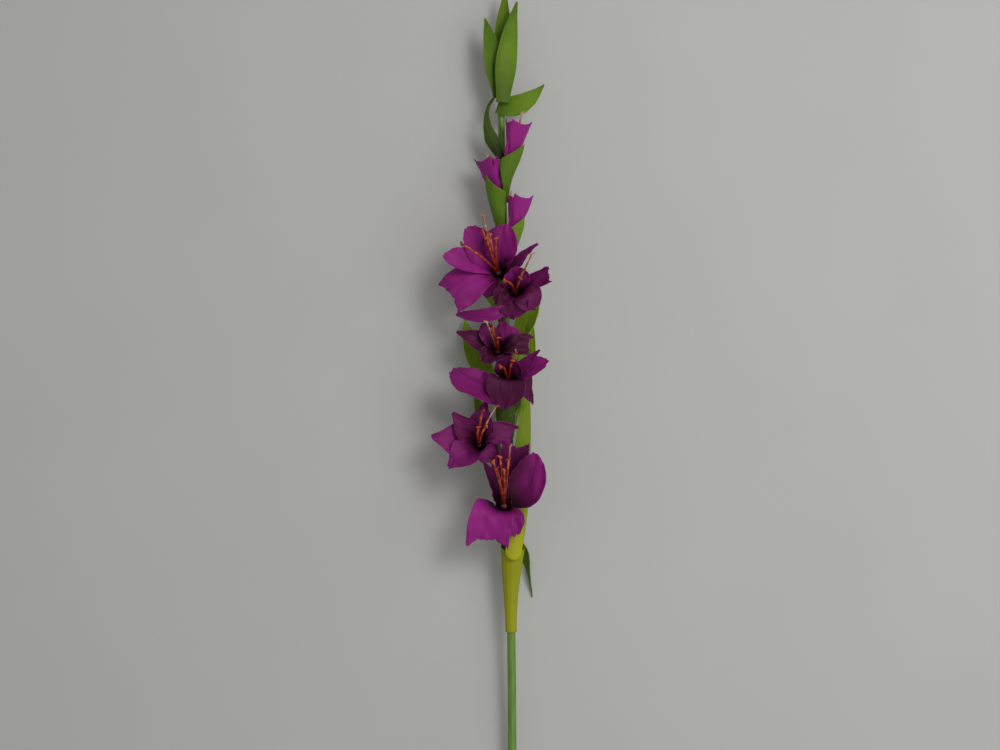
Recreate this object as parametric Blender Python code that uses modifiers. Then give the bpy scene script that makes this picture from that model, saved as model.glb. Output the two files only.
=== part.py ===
"""Artificial gladiolus stem, laid on its back with its blooms up.

X runs to the right and Y along the stem towards its tip. Z is up from the surface that the stem lies on.
Tables are in millimetres. In them X and Y start at the foot of the yellow-green sleeve, on the stem's
centre line, and Z starts at the surface. Angles are in degrees.
"""

import math

import bmesh
import bpy
from mathutils import Quaternion, Vector

MM = 0.001

# Place of the model's origin in the tables' X and Y: the middle of its box, seen from above
MIDDLE_X = -16.33
MIDDLE_Y = 91.0

CLEARANCE = 0.3
CLOTH = 0.8

# Stem: places that its centre line runs through, and its radius there
STEM_ROUTE = [
    ((0.0, -334.0, 3.5), 3.5),
    ((0.2, -250.0, 4.8), 3.5),
    ((0.2, -150.0, 9.0), 3.5),
    ((0.0, -60.0, 15.0), 3.5),
    ((-0.6, 0.0, 18.8), 3.4),
    ((-1.5, 60.0, 21.2), 3.3),
    ((-3.2, 150.0, 22.0), 3.2),
    ((-5.2, 250.0, 22.0), 3.1),
    ((-7.0, 340.0, 21.6), 3.0),
    ((-8.5, 410.0, 21.0), 2.8),
    ((-8.2, 440.0, 21.0), 2.6),
]
STEM_RINGS_A_SPAN = 2
WIRE_RADIUS = 1.05
WIRE_TOP = 0.93
PEG_RADIUS_AT_STEM = 2.2
PEG_RADIUS_AT_CUP = 2.9
PEG_DROP = 15.0

# Cup that the petals of an open bloom stand in
CUP_HEIGHT = 6.0
CUP_TOP_RADIUS = 6.8
CUP_FOOT_RADIUS = 3.2
INNER_RING = 3.9
OUTER_RING = 5.3
PETAL_SINK = 2.6
SHORT_PETAL = 28.0
SHORT_LEAF = 150.0

# Outlines of a blade: width at its root, place of its greatest width, width at its end, fullness between the
# two, how far its corners stay behind the middle of its end, how far its end slants, and how far the corners
# of its root are ahead of the middle. Widths are shares of the greatest width, the rest of the length.
OUTLINES = {
    "oval": (0.46, 0.60, 0.74, 2.8, 0.15, 0.0, 0.0),
    "point": (0.46, 0.50, 0.30, 1.7, 0.14, 0.0, 0.0),
    "broad": (0.50, 0.66, 0.52, 2.6, 0.08, 0.0, 0.0),
    "square": (0.50, 0.78, 0.86, 3.0, -0.08, 0.0, 0.0),
    "wide": (0.55, 0.40, 0.96, 3.0, -0.10, 0.0, 0.0),
    "fan": (0.55, 1.10, 0.95, 2.0, -0.04, 0.0, 0.0),
    "leaf": (0.80, 0.42, 0.10, 1.9, 0.04, 0.0, 0.0),
    "long": (0.60, 0.35, 0.10, 1.9, 0.04, 0.0, 0.0),
    "heeled": (0.85, 0.30, 0.45, 2.6, 0.04, 0.0, 0.045),
    "loop": (0.60, 0.28, 0.24, 0.55, 0.04, 0.0, 0.0),
    "lobe": (0.42, 0.72, 0.62, 3.6, 0.10, 0.0, 0.0),
    "collar": (0.45, 0.85, 0.95, 2.2, -0.03, -0.22, 0.0),
    "left_collar": (0.45, 0.85, 0.95, 2.2, -0.03, 0.18, 0.0),
    "tip": (0.50, 0.45, 0.14, 1.9, 0.05, 0.0, 0.0),
    "blunt": (0.62, 0.38, 0.14, 1.9, 0.05, 0.0, 0.0),
    "sheath": (0.41, 1.40, 0.90, 2.0, -0.12, 0.0, 0.0),
}

# Petals: place of the tip from the throat, rise of the middle above the throat, sideways bow of the middle,
# half width, outline, curl at the tip, turn round its own length, depth of the waved edge, ring
BLOOMS = {
    "a": {
        "throat": (-11.0, 287.0, 39.0),
        "faces": (-0.14, 0.28, 1.0),
        "petals": [
            ((-24.5, 35.0, 15.0), 11.0, 0.0, 13.5, "oval", 30.0, 0.0, 0.8, 1),
            ((6.5, 37.0, 15.0), 14.0, 0.0, 15.0, "broad", 42.0, 0.0, 1.0, 0),
            ((-43.0, 11.7, 16.0), 14.0, -2.0, 10.0, "oval", 15.0, 0.0, 0.8, 0),
            ((-37.4, -17.5, 11.0), 10.0, -1.5, 17.0, "square", -28.0, 0.0, 0.8, 1),
            ((31.2, 21.8, 20.0), 11.0, 0.0, 7.5, "point", 20.0, 78.0, 0.6, 1),
            ((-10.5, -19.0, -2.5), 1.5, 0.0, 8.0, "broad", 8.0, 0.0, 0.6, 0),
        ],
    },
    "b": {
        "throat": (1.6, 270.5, 36.0),
        "faces": (0.15, 0.42, 1.0),
        "petals": [
            ((0.8, 20.5, 19.0), 13.0, 0.0, 12.0, "broad", 35.0, 0.0, 1.0, 0),
            ((27.37, 12.1, 20.0), 11.0, 0.0, 9.0, "square", 65.0, 0.0, 0.4, 1),
            ((17.0, -12.0, 9.0), 13.0, 0.0, 12.0, "broad", 12.0, 10.0, 0.8, 0),
            ((-46.4, -16.0, -1.0), 3.0, 14.0, 6.0, "oval", 20.0, -10.0, 0.4, 1),
            ((-15.5, -7.0, 9.5), 9.0, 0.0, 9.0, "broad", 25.0, 0.0, 0.4, 0),
            ((-4.0, -20.0, 8.0), 9.0, 0.0, 13.0, "broad", 20.0, 0.0, 0.8, 1),
        ],
    },
    "c": {
        "throat": (-11.4, 224.5, 33.0),
        "faces": (-0.08, 0.42, 1.0),
        "petals": [
            ((-32.7, 15.8, 8.0), 10.0, 0.0, 9.0, "point", 18.0, 0.0, 0.4, 1),
            ((-12.4, 22.1, 9.0), 12.0, 0.0, 7.5, "oval", -15.0, 0.0, 0.4, 0),
            ((10.0, 20.7, 7.0), 10.0, 0.0, 9.5, "square", -20.0, 0.0, 0.8, 1),
            ((24.2, 4.5, 9.0), 12.0, 0.0, 9.5, "square", 10.0, 0.0, 1.4, 0),
            ((-12.5, -7.9, 8.0), 6.5, 0.0, 8.5, "oval", 25.0, 0.0, 0.5, 0),
            ((8.0, -9.9, 6.0), 6.5, 0.0, 8.0, "oval", 25.0, 0.0, 0.5, 1),
        ],
    },
    "d": {
        "throat": (-4.1, 200.8, 38.0),
        "faces": (0.1, 0.8, 1.0),
        "petals": [
            ((-43.0, 9.6, 9.0), 7.0, 15.0, 16.0, "oval", 20.0, 0.0, 0.8, 1),
            ((20.4, -17.2, 4.0), 9.0, 0.0, 12.5, "point", 15.0, 0.0, 0.8, 1),
            ((-3.5, -21.5, 13.5), 14.0, 0.0, 16.0, "broad", 12.0, 0.0, 0.8, 0),
            ((25.7, 25.0, 17.0), 12.0, 0.0, 6.5, "point", 35.0, 30.0, 0.6, 0),
            ((32.5, 16.0, 15.0), 10.0, 0.0, 9.3, "lobe", 30.0, 0.0, 0.4, 1),
            ((3.0, 19.8, 17.0), 11.0, 0.0, 12.0, "broad", 35.0, 0.0, 1.0, 1),
        ],
    },
    "e": {
        "throat": (-25.6, 150.3, 35.0),
        "faces": (-0.20, 0.22, 1.0),
        "petals": [
            ((-38.2, 7.3, 12.0), 11.0, 0.0, 15.5, "point", 20.0, 0.0, 0.8, 1),
            ((-21.4, 26.4, 12.0), 13.0, 0.0, 10.5, "point", 30.0, 0.0, 0.6, 0),
            ((4.8, 35.0, 9.0), 10.0, 0.0, 12.0, "point", 35.0, 0.0, 0.8, 1),
            ((24.5, 8.0, 8.0), 11.0, 4.5, 9.5, "square", 22.0, 0.0, 0.8, 0),
            ((-24.5, -17.5, 12.0), 13.0, 0.0, 13.0, "point", 20.0, 0.0, 0.8, 0),
            ((13.0, -9.5, 3.0), 6.0, 0.0, 10.5, "broad", 10.0, 0.0, 0.8, 1),
        ],
    },
    "f": {
        "throat": (-6.6, 102.3, 39.0),
        "faces": (0.05, 0.32, 1.0),
        "petals": [
            ((23.0, 42.5, 15.0), 10.0, -7.5, 16.0, "oval", 38.0, 0.0, 0.8, 1),
            ((9.6, 47.2, 9.0), 5.5, 0.0, 11.5, "square", 20.0, 0.0, 1.0, 0),
            ((-16.2, 36.0, 17.0), 11.0, 0.0, 9.0, "point", 25.0, 40.0, 0.6, 1),
            ((-12.8, -25.5, 10.0), 11.0, -4.0, 17.5, "wide", 12.0, 0.0, 0.4, 0),
            ((9.5, -23.0, 6.0), 8.0, 0.0, 11.0, "broad", 15.0, 0.0, 0.6, 1),
            ((-3.0, 41.5, 5.0), 5.0, 0.0, 10.5, "oval", 20.0, 0.0, 0.6, 1),
        ],
    },
}

# Stamens: place of each tip from the throat. The list for a bud is from the foot of the bud.
STAMENS = {
    "a": [
        (-12.3, 32.0, 26.0), (-6.6, 29.0, 27.0), (-1.5, 25.3, 26.0), (-28.5, 21.0, 28.0), (-11.6, 42.6, 24.0),
        (-9.2, 25.8, 27.0),
    ],
    "b": [(7.1, 17.5, 27.0), (4.5, 11.0, 29.0), (-7.5, 8.7, 27.0), (13.3, 28.8, 27.0)],
    "c": [(-4.0, 18.5, 21.0), (-8.6, 22.4, 20.0), (0.6, 10.6, 23.0)],
    "d": [(4.5, 16.3, 25.0), (6.7, 22.8, 26.0), (-5.5, 12.0, 24.0)],
    "e": [(2.4, 27.5, 20.0), (5.3, 16.0, 22.0), (-0.8, 15.0, 22.0), (12.6, 30.3, 23.0)],
    "f": [
        (-8.2, 36.5, 28.0), (-3.0, 40.0, 28.0), (3.6, 38.4, 28.0), (4.9, 47.6, 28.0), (0.2, 30.0, 28.0),
        (-5.6, 31.0, 28.0),
    ],
}
STAMEN_RADIUS = 0.95
ANTHER_RADIUS = 1.1
ANTHER_LENGTH = 5.5
STAMEN_DISC_HEIGHT = 1.4
STAMEN_SPREAD = {"stamens_a": (1.3, 0.15), "stamens_f": (1.7, 0.18)}
STAMEN_USUAL_SPREAD = (0.9, 0.10)

# Half-open buds: foot of the bud, way that it faces, then its petals
BUDS = {
    "1": {
        "foot": (-1.5, 376.0, 28.5),
        "faces": (0.28, 1.0, 0.25),
        "petals": [
            ((-3.0, 30.0, 11.0), 9.0, 0.0, 6.5, "fan", 35.0, 0.0, 0.3, 0),
            ((10.5, 28.5, 10.0), 9.0, 0.0, 11.0, "fan", 30.0, 0.0, 0.4, 1),
            ((4.5, 27.0, -1.0), 12.0, 0.0, 9.0, "fan", 20.0, 0.0, 0.4, 1),
        ],
        "stamens": [(9.0, 37.0, 6.0), (2.5, 30.0, 6.0)],
    },
    "2": {
        "foot": (-12.0, 348.0, 28.5),
        "faces": (-0.30, 1.0, 0.25),
        "petals": [
            ((-13.0, 27.0, 11.0), 9.0, 0.0, 10.0, "fan", 30.0, 0.0, 0.4, 1),
            ((0.5, 29.0, 10.0), 9.0, 0.0, 6.0, "fan", 35.0, 0.0, 0.3, 0),
            ((-6.0, 28.4, 0.0), 12.0, 0.0, 8.6, "fan", 20.0, 0.0, 0.4, 1),
        ],
        "stamens": [(-7.5, 31.0, 6.0), (-4.5, 30.0, 6.0)],
    },
    "3": {
        "foot": (0.5, 318.0, 28.5),
        "faces": (0.25, 1.0, 0.25),
        "petals": [
            ((-3.0, 28.0, 12.0), 9.0, 0.0, 6.5, "fan", 35.0, 0.0, 0.3, 0),
            ((9.5, 28.0, 11.0), 9.0, 0.0, 9.5, "fan", 30.0, 0.0, 0.4, 1),
            ((3.2, 28.4, -0.6), 12.0, 0.0, 8.0, "fan", 20.0, 0.0, 0.4, 1),
        ],
        "stamens": [(-1.0, 31.0, 6.0), (3.5, 29.0, 6.0)],
    },
}
BUD_CUP_HEIGHT = 5.0
BUD_CUP_TOP_RADIUS = 4.8
BUD_CUP_FOOT_RADIUS = 2.6
BUD_RINGS = (2.7, 3.8)

# Green leaves. For the root: its height on the stem, the side of the stem that it grows from (0 right, 90 up,
# 180 left) and its distance from the stem's centre line. Then the places of the middle and the tip, the way
# that the inner face looks at the tip, half width, outline, and curl at the tip.
LEAVES = {
    "bract_a": (
        (244.0, 205.0, 4.3), (-20.0, 275.0, 15.0), (-34.0, 302.0, 12.0), (0.5, 0.0, 1.0), 9.0, "leaf", 20.0
    ),
    "bract_b": (
        (212.0, -20.0, 4.6), (12.5, 250.0, 16.5), (17.5, 286.0, 12.0), (-0.4, 0.0, 1.0), 12.0, "leaf", 20.0
    ),
    "bract_c": (
        (174.0, 205.0, 4.3), (-26.5, 213.0, 14.0), (-38.0, 251.0, 7.0), (0.5, 0.0, 1.0), 13.0, "long", 20.0
    ),
    "bract_d": (
        (156.0, -20.0, 4.4), (10.0, 203.0, 9.0), (17.0, 250.0, 0.5), (-0.5, 0.0, 1.0), 12.0, "long", 20.0
    ),
    "bract_e": (
        (112.0, 215.0, 4.4), (-18.0, 150.0, 12.0), (-31.0, 195.0, 0.4), (0.5, 0.0, 1.0), 9.5, "leaf", 20.0
    ),
    "spathe_1": (
        (344.0, 30.0, 4.4), (-1.6, 365.0, 33.6), (1.6, 383.0, 38.8), (-0.3, 0.2, -1.0), 9.0, "collar", 45.0
    ),
    "spathe_2": (
        (316.0, 118.0, 4.4), (-12.4, 338.0, 33.6), (-14.0, 356.4, 40.0), (0.3, 0.2, -1.0), 9.0, "left_collar", 45.0
    ),
    "spathe_3": (
        (284.0, 40.0, 4.4), (0.6, 307.5, 33.6), (2.6, 325.0, 38.8), (-0.3, 0.2, -1.0), 9.0, "collar", 45.0
    ),
    "tip_leaf_middle": (
        (427.0, 290.0, 3.8), (-7.5, 472.0, 15.5), (-5.0, 516.0, 20.0), (0.0, 0.0, 1.0), 7.5, "tip", 30.0
    ),
}

# Leaves that lie over the stem or beside it: places of the root, the middle and the tip, the ways that the
# inner face looks at the root and at the tip, half width, outline, and curl at the root and at the tip
LAID_LEAVES = {
    "bract_f": (
        ((0.4, 59.0, 34.2), (7.0, 118.0, 29.0), (11.8, 198.0, 25.0)),
        ((-0.1, 0.0, -1.0), (-0.5, 0.0, -1.0)), 8.2, "heeled", (38.0, 25.0)
    ),
    "bract_g": (
        ((-3.0, 150.0, 26.2), (-4.6, 165.0, 29.6), (-5.2, 181.0, 31.5)),
        ((0.0, 0.0, -1.0), (0.0, 0.0, -1.0)), 8.0, "square", (22.0, 18.0)
    ),
    "bowed_leaf": (
        ((-8.7, 379.5, 26.8), (-20.6, 408.0, 26.0), (-14.4, 427.6, 24.6)),
        ((0.1, 0.0, -1.0), (1.0, 0.0, -0.6)), 5.8, "loop", (30.0, 40.0)
    ),
    "tip_leaf_left": (
        ((-10.4, 427.4, 24.9), (-15.0, 459.0, 25.0), (-21.6, 491.0, 25.0)),
        ((0.2, 0.0, 1.0), (0.2, 0.0, 1.0)), 8.2, "blunt", (20.0, 20.0)
    ),
    "tip_leaf_right": (
        ((-7.2, 422.5, 32.0), (-3.0, 464.0, 30.0), (4.0, 504.0, 27.0)),
        ((-0.2, 0.0, -1.0), (-0.5, 0.0, -1.0)), 9.0, "blunt", (22.0, 35.0)
    ),
    "bent_leaf": (
        ((-11.5, 421.3, 24.6), (7.0, 422.3, 28.0), (25.6, 437.6, 28.0)),
        ((0.0, 0.0, 1.0), (0.0, -0.3, 1.0)), 8.2, "leaf", (15.0, 20.0)
    ),
    "back_leaf": (
        ((5.4, 72.0, 13.0), (12.0, 56.0, 6.75), (16.5, 26.0, 1.2)),
        ((-0.5, 0.0, 0.87), (-1.0, 0.0, 0.1)), 6.0, "tip", (20.0, 15.0)
    ),
    "sleeve": (
        ((-0.6, 0.0, 23.1), (-0.8, 34.0, 26.2), (0.4, 65.0, 31.2)),
        ((0.0, 0.0, -1.0), (0.0, 0.0, -1.0)), 31.0, "sheath", (170.0, 166.0)
    ),
}


def place(point):
    """A place in the tables as a place in the model, in metres."""
    x, y, z = point
    return Vector((x - MIDDLE_X, y - MIDDLE_Y, z)) * MM


def mix(a, b, share):
    """The value that lies this share of the way from a to b."""
    return a + (b - a) * share


def ease(share):
    """A share from 0 to 1 with a slow start and a slow end."""
    share = min(max(share, 0.0), 1.0)
    return share * share * (3 - 2 * share)


def through(points, share):
    """A smooth curve through the points, at a share of its number of spans."""
    spans = len(points) - 1
    at = min(max(share, 0.0), 1.0) * spans
    i = min(int(at), spans - 1)
    t = at - i
    p1, p2 = points[i], points[i + 1]
    p0 = points[i - 1] if i > 0 else 2 * p1 - p2
    p3 = points[i + 2] if i + 2 <= spans else 2 * p2 - p1
    return 0.5 * (
        2 * p1 + (p2 - p0) * t + (2 * p0 - 5 * p1 + 4 * p2 - p3) * t * t + (3 * p1 - p0 - 3 * p2 + p3) * t**3
    )


def stem_at(y):
    """The stem's centre, direction and radius at a height of the tables, in millimetres."""
    centres = [Vector(centre) for centre, radius in STEM_ROUTE]
    radii = [radius for centre, radius in STEM_ROUTE]
    low, high = 0.0, 1.0
    for _ in range(40):
        middle = (low + high) / 2
        if through(centres, middle).y < y:
            low = middle
        else:
            high = middle
    ahead = through(centres, low + 0.002) - through(centres, low - 0.002)
    return through(centres, low), ahead.normalized(), through(radii, low)


def material(name, colour, roughness, metallic=0.0):
    """A plain surface with a colour, a roughness and a share of metal."""
    made = bpy.data.materials.new(name)
    made.use_nodes = True
    shader = made.node_tree.nodes["Principled BSDF"]
    shader.inputs["Base Color"].default_value = (*colour, 1.0)
    shader.inputs["Roughness"].default_value = roughness
    shader.inputs["Metallic"].default_value = metallic
    made.diffuse_color = (*colour, 1.0)
    return made


def collection(name):
    """A new collection under the scene's own."""
    made = bpy.data.collections.new(name)
    bpy.context.scene.collection.children.link(made)
    return made


def keep(mesh, name, finish, group):
    """An object of this mesh, with its finish, in a collection."""
    mesh.materials.clear()
    mesh.materials.append(finish)
    made = bpy.data.objects.new(name, mesh)
    group.objects.link(made)
    return made


def tube(name, points, radii, finish, group, sides=12):
    """A closed round rod through the points, its radius changing from point to point."""
    curve = bpy.data.curves.new(name, "CURVE")
    curve.dimensions = "3D"
    curve.bevel_depth = MM
    curve.bevel_resolution = (sides - 4) // 2
    curve.use_fill_caps = True
    spline = curve.splines.new("POLY")
    spline.points.add(len(points) - 1)
    for end, point, radius in zip(spline.points, points, radii):
        end.co = (*place(point), 1.0)
        end.radius = radius
    guide = bpy.data.objects.new(name, curve)
    group.objects.link(guide)
    evaluated = guide.evaluated_get(bpy.context.evaluated_depsgraph_get())
    mesh = bpy.data.meshes.new_from_object(evaluated)
    bpy.data.objects.remove(guide)
    bpy.data.curves.remove(curve)
    shape = bmesh.new()
    shape.from_mesh(mesh)
    bmesh.ops.remove_doubles(shape, verts=shape.verts, dist=1e-6)
    bmesh.ops.recalc_face_normals(shape, faces=shape.faces)
    shape.to_mesh(mesh)
    shape.free()
    return keep(mesh, name, finish, group)


def cone(name, foot, top, foot_radius, top_radius, finish, group, sides=12):
    """A solid cone with flat ends between two places."""
    along = place(top) - place(foot)
    shape = bmesh.new()
    bmesh.ops.create_cone(
        shape,
        cap_ends=True,
        segments=sides,
        radius1=foot_radius * MM,
        radius2=top_radius * MM,
        depth=along.length,
    )
    turn = along.to_track_quat("Z", "Y").to_matrix().to_4x4()
    turn.translation = (place(foot) + place(top)) / 2
    bmesh.ops.transform(shape, matrix=turn, verts=shape.verts)
    mesh = bpy.data.meshes.new(name)
    shape.to_mesh(mesh)
    shape.free()
    return keep(mesh, name, finish, group)


def join(first, others):
    """One body of the first object and a collection of others, which are then removed."""
    union = first.modifiers.new("join", "BOOLEAN")
    union.operation = "UNION"
    union.operand_type = "COLLECTION"
    union.collection = others
    union.solver = "EXACT"
    apply(first)
    drop_scraps(first.data)
    for other in list(others.objects):
        bpy.data.objects.remove(other)
    bpy.data.collections.remove(others)


def cut(target, cutter):
    """Take the cutter out of the target, then remove the cutter."""
    bore = target.modifiers.new("bore", "BOOLEAN")
    bore.operation = "DIFFERENCE"
    bore.object = cutter
    bore.solver = "EXACT"
    apply(target)
    bpy.data.objects.remove(cutter)


def drop_scraps(mesh):
    """Keep only the largest of the mesh's loose pieces."""
    shape = bmesh.new()
    shape.from_mesh(mesh)
    left = set(shape.verts)
    islands = []
    while left:
        island = {left.pop()}
        edge_of_it = list(island)
        while edge_of_it:
            vert = edge_of_it.pop()
            for edge in vert.link_edges:
                other = edge.other_vert(vert)
                if other in left:
                    left.remove(other)
                    island.add(other)
                    edge_of_it.append(other)
        islands.append(island)
    islands.sort(key=len)
    scraps = [vert for island in islands[:-1] for vert in island]
    bmesh.ops.delete(shape, geom=scraps, context="VERTS")
    shape.to_mesh(mesh)
    shape.free()


def apply(target):
    """Put what the target's modifiers make into its mesh."""
    evaluated = target.evaluated_get(bpy.context.evaluated_depsgraph_get())
    finished = bpy.data.meshes.new_from_object(evaluated)
    target.modifiers.clear()
    target.data = finished


def width_at(u, outline):
    """Width of a blade at u along it, as a share of its greatest width.

    It grows with an eased curve from the root to the peak, then falls by a power of the way to the end.
    """
    root, peak, end, full = OUTLINES[outline][:4]
    if u < peak:
        return mix(root, 1.0, ease(u / peak))
    return mix(end, 1.0, 1 - ((u - peak) / (1 - peak)) ** full)


def blade(name, route, faces, half_width, outline, curl, turn, wave, finish, group, across=4, along=6):
    """A thin cloth blade, as a grid that is bent over its centre line.

    The centre line is the parabola through three places. Across it the grid follows an arc, whose half angle
    is the curl at that place, so the arc's radius is the half width over that angle. The inner face looks
    from faces[0] at the root to faces[1] at the tip. The edges wave by a sine of the place along the blade.
    """
    root, middle, tip = route
    bend = 2 * middle - (root + tip) / 2
    corners, slant, heel = OUTLINES[outline][4:]
    grid = bmesh.new()
    bmesh.ops.create_grid(grid, x_segments=across, y_segments=along, size=1.0)
    for vert in grid.verts:
        v = vert.co.x
        u = (vert.co.y + 1) / 2
        s = u * (1 - corners * v * v * u + slant * v * u) + heel * v * v * (1 - u) ** 2
        centre = root * (1 - s) ** 2 + bend * 2 * s * (1 - s) + tip * s * s
        ahead = ((bend - root) * (1 - s) + (tip - bend) * s).normalized()
        inner = mix(faces[0], faces[1], ease(s))
        inner = (inner - inner.dot(ahead) * ahead).normalized()
        inner = Quaternion(ahead, math.radians(turn * ease(s * 1.6))) @ inner
        side = ahead.cross(inner)
        width = half_width * width_at(u, outline)
        angle = math.radians(mix(curl[0], curl[1], ease(s * curl[2])))
        if abs(angle) < 0.02:
            angle = 0.02
        radius = width / angle
        ripple = wave * s**1.5 * abs(v) ** 1.5 * math.sin(2.2 * math.tau * s + (1.9 if v > 0 else 0.0))
        lift = radius * (1 - math.cos(angle * v)) + ripple
        vert.co = place(centre + side * radius * math.sin(angle * v) + inner * lift)
    bmesh.ops.triangulate(grid, faces=grid.faces)
    mesh = bpy.data.meshes.new(name)
    grid.to_mesh(mesh)
    grid.free()
    made = keep(mesh, name, finish, group)
    wall = made.modifiers.new("cloth", "SOLIDIFY")
    wall.thickness = CLOTH * MM
    wall.offset = 0.0
    return made


def petals(name, throat, faces, rows, rings, along, finish, group):
    """The petals of a bloom or bud, each from its root in the cup to its tip."""
    for number, row in enumerate(rows):
        reach, rise, bow, half_width, outline, curl, turn, wave, ring = row
        tip = throat + Vector(reach)
        out = Vector(reach) - Vector(reach).dot(faces) * faces
        away = out.normalized()
        root = throat + away * rings[ring] - faces * PETAL_SINK
        middle = throat + out * 0.45 + faces * rise + faces.cross(away) * bow
        blade(
            f"{name}_petal_{number}",
            (root, middle, tip),
            (-away, faces),
            half_width,
            outline,
            (45.0, curl, 1.0),
            turn,
            wave,
            finish,
            group,
            along=along if Vector(reach).length > SHORT_PETAL else along - 1,
        )


def stamens(name, throat, faces, tips, finish, home):
    """A bunch of stamens: threads that rise from one disc, each with a cross bar at its tip."""
    height = STAMEN_DISC_HEIGHT
    spread, share = STAMEN_SPREAD.get(name, STAMEN_USUAL_SPREAD)
    radius = spread + STAMEN_RADIUS
    foot = throat + faces * CLEARANCE
    disc = cone(name, foot, foot + faces * height, radius, radius, finish, home, sides=8)
    threads = collection(name + "_threads")
    for number, tip in enumerate(tips):
        end = throat + Vector(tip)
        lean = Vector(tip) - Vector(tip).dot(faces) * faces
        start = foot + faces * height * 0.4 + lean.normalized() * spread
        bend = start + faces * Vector(tip).dot(faces) * 0.75 + lean * share
        route = [start.lerp(bend, t).lerp(bend.lerp(end, t), t) for t in (0.0, 0.35, 0.7, 1.0)]
        tube(f"{name}_thread_{number}", route, [STAMEN_RADIUS] * len(route), finish, threads, sides=4)
        across = (end - route[-2]).normalized().cross(Vector((0, 0, 1))).normalized() * ANTHER_LENGTH / 2
        bar = [end - across, end, end + across]
        sizes = [ANTHER_RADIUS * share for share in (0.6, 1.0, 0.6)]
        tube(f"{name}_anther_{number}", bar, sizes, finish, threads, sides=4)
    join(disc, threads)


def bloom(name, row, finish, home):
    """An open bloom: six petals in two rings, standing in one cup."""
    throat = Vector(row["throat"])
    faces = Vector(row["faces"]).normalized()
    body = cone(name, throat - faces * CUP_HEIGHT, throat, CUP_FOOT_RADIUS, CUP_TOP_RADIUS, finish, home)
    whorl = collection(name + "_petals")
    petals(name, throat, faces, row["petals"], (INNER_RING, OUTER_RING), 5, finish, whorl)
    join(body, whorl)


def bud(name, row, finish, home):
    """A half-open bud: a fan of petals standing in a small cup."""
    foot = Vector(row["foot"])
    faces = Vector(row["faces"]).normalized()
    base = foot - faces * BUD_CUP_HEIGHT
    body = cone(name, base, foot, BUD_CUP_FOOT_RADIUS, BUD_CUP_TOP_RADIUS, finish, home, sides=10)
    whorl = collection(name + "_petals")
    petals(name, foot, faces, row["petals"], BUD_RINGS, 3, finish, whorl)
    join(body, whorl)


def stem(finish, steel, home):
    """The rod with a peg for each flower, its bore, and the wire in the bore."""
    spans = (len(STEM_ROUTE) - 1) * STEM_RINGS_A_SPAN
    centres = [Vector(centre) for centre, radius in STEM_ROUTE]
    radii = [radius for centre, radius in STEM_ROUTE]
    shares = [i / spans for i in range(spans + 1)]
    route = [through(centres, share) for share in shares]
    rod = tube("stem", route, [through(radii, share) for share in shares], finish, home)
    pegs = collection("pegs")
    for row in list(BLOOMS.values()) + list(BUDS.values()):
        faces = Vector(row["faces"]).normalized()
        height = CUP_HEIGHT if "throat" in row else BUD_CUP_HEIGHT
        top = Vector(row["throat"] if "throat" in row else row["foot"])
        end = top - faces * (height + CLEARANCE)
        start = stem_at(end.y - PEG_DROP)[0]
        bend = end - faces * min(8.0, (end - start).length * 0.45)
        path = [start.lerp(bend, t).lerp(bend.lerp(end, t), t) for t in (0.0, 0.35, 0.7)]
        path += [end - faces, end]
        widths = [mix(PEG_RADIUS_AT_STEM, PEG_RADIUS_AT_CUP, i / 4) for i in range(5)]
        tube("peg", path, widths, finish, pegs, sides=6)
    join(rod, pegs)
    inner = [through(centres, share * WIRE_TOP) for share in shares]
    ahead = (inner[0] - inner[1]).normalized()
    mouth = [inner[0] + ahead, *inner]
    cut(rod, tube("bore", mouth, [WIRE_RADIUS + CLEARANCE] * len(mouth), finish, home, sides=8))
    back = (inner[-2] - inner[-1]).normalized() * CLEARANCE
    tube("stem_wire", inner[:-1] + [inner[-1] + back], [WIRE_RADIUS] * (spans + 1), steel, home, sides=8)


def leaf(name, row, finish, home):
    """A bract whose root wraps round the stem and whose blade opens out above it."""
    (height, side, wrap), middle, tip, look, half_width, outline, curl = row
    centre, ahead, _ = stem_at(height)
    out = Vector((math.cos(math.radians(side)), 0.0, math.sin(math.radians(side))))
    out = (out - out.dot(ahead) * ahead).normalized()
    root = centre + out * wrap
    share = OUTLINES[outline][0]
    hug = math.degrees(half_width * share / wrap)
    blade(
        name,
        (root, Vector(middle), Vector(tip)),
        (-out, Vector(look)),
        half_width,
        outline,
        (hug, curl, 2.2),
        0.0,
        0.0,
        finish,
        home,
        along=8 if height < SHORT_LEAF else 6,
    )


def laid_leaf(name, row, finish, home):
    """A leaf whose root doesn't wrap the stem but lies against it, or the sleeve, which is all wrap."""
    route, looks, half_width, outline, curls = row
    blade(
        name,
        [Vector(point) for point in route],
        [Vector(look) for look in looks],
        half_width,
        outline,
        (*curls, 1.0),
        0.0,
        0.0,
        finish,
        home,
        across=10 if outline == "sheath" else 4,
        along=6,
    )


def clear_scene():
    """Start from an empty scene."""
    for old in list(bpy.data.objects):
        bpy.data.objects.remove(old)


clear_scene()
home = collection("gladiolus")
petal_cloth = material("petal_cloth", (0.22, 0.012, 0.18), 0.55)
stamen_plastic = material("stamen_plastic", (0.52, 0.07, 0.02), 0.45)
leaf_cloth = material("leaf_cloth", (0.10, 0.17, 0.012), 0.6)
sleeve_cloth = material("sleeve_cloth", (0.32, 0.34, 0.015), 0.6)
stem_plastic = material("stem_plastic", (0.12, 0.26, 0.045), 0.4)
wire_steel = material("wire_steel", (0.5, 0.5, 0.5), 0.35, 1.0)

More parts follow.
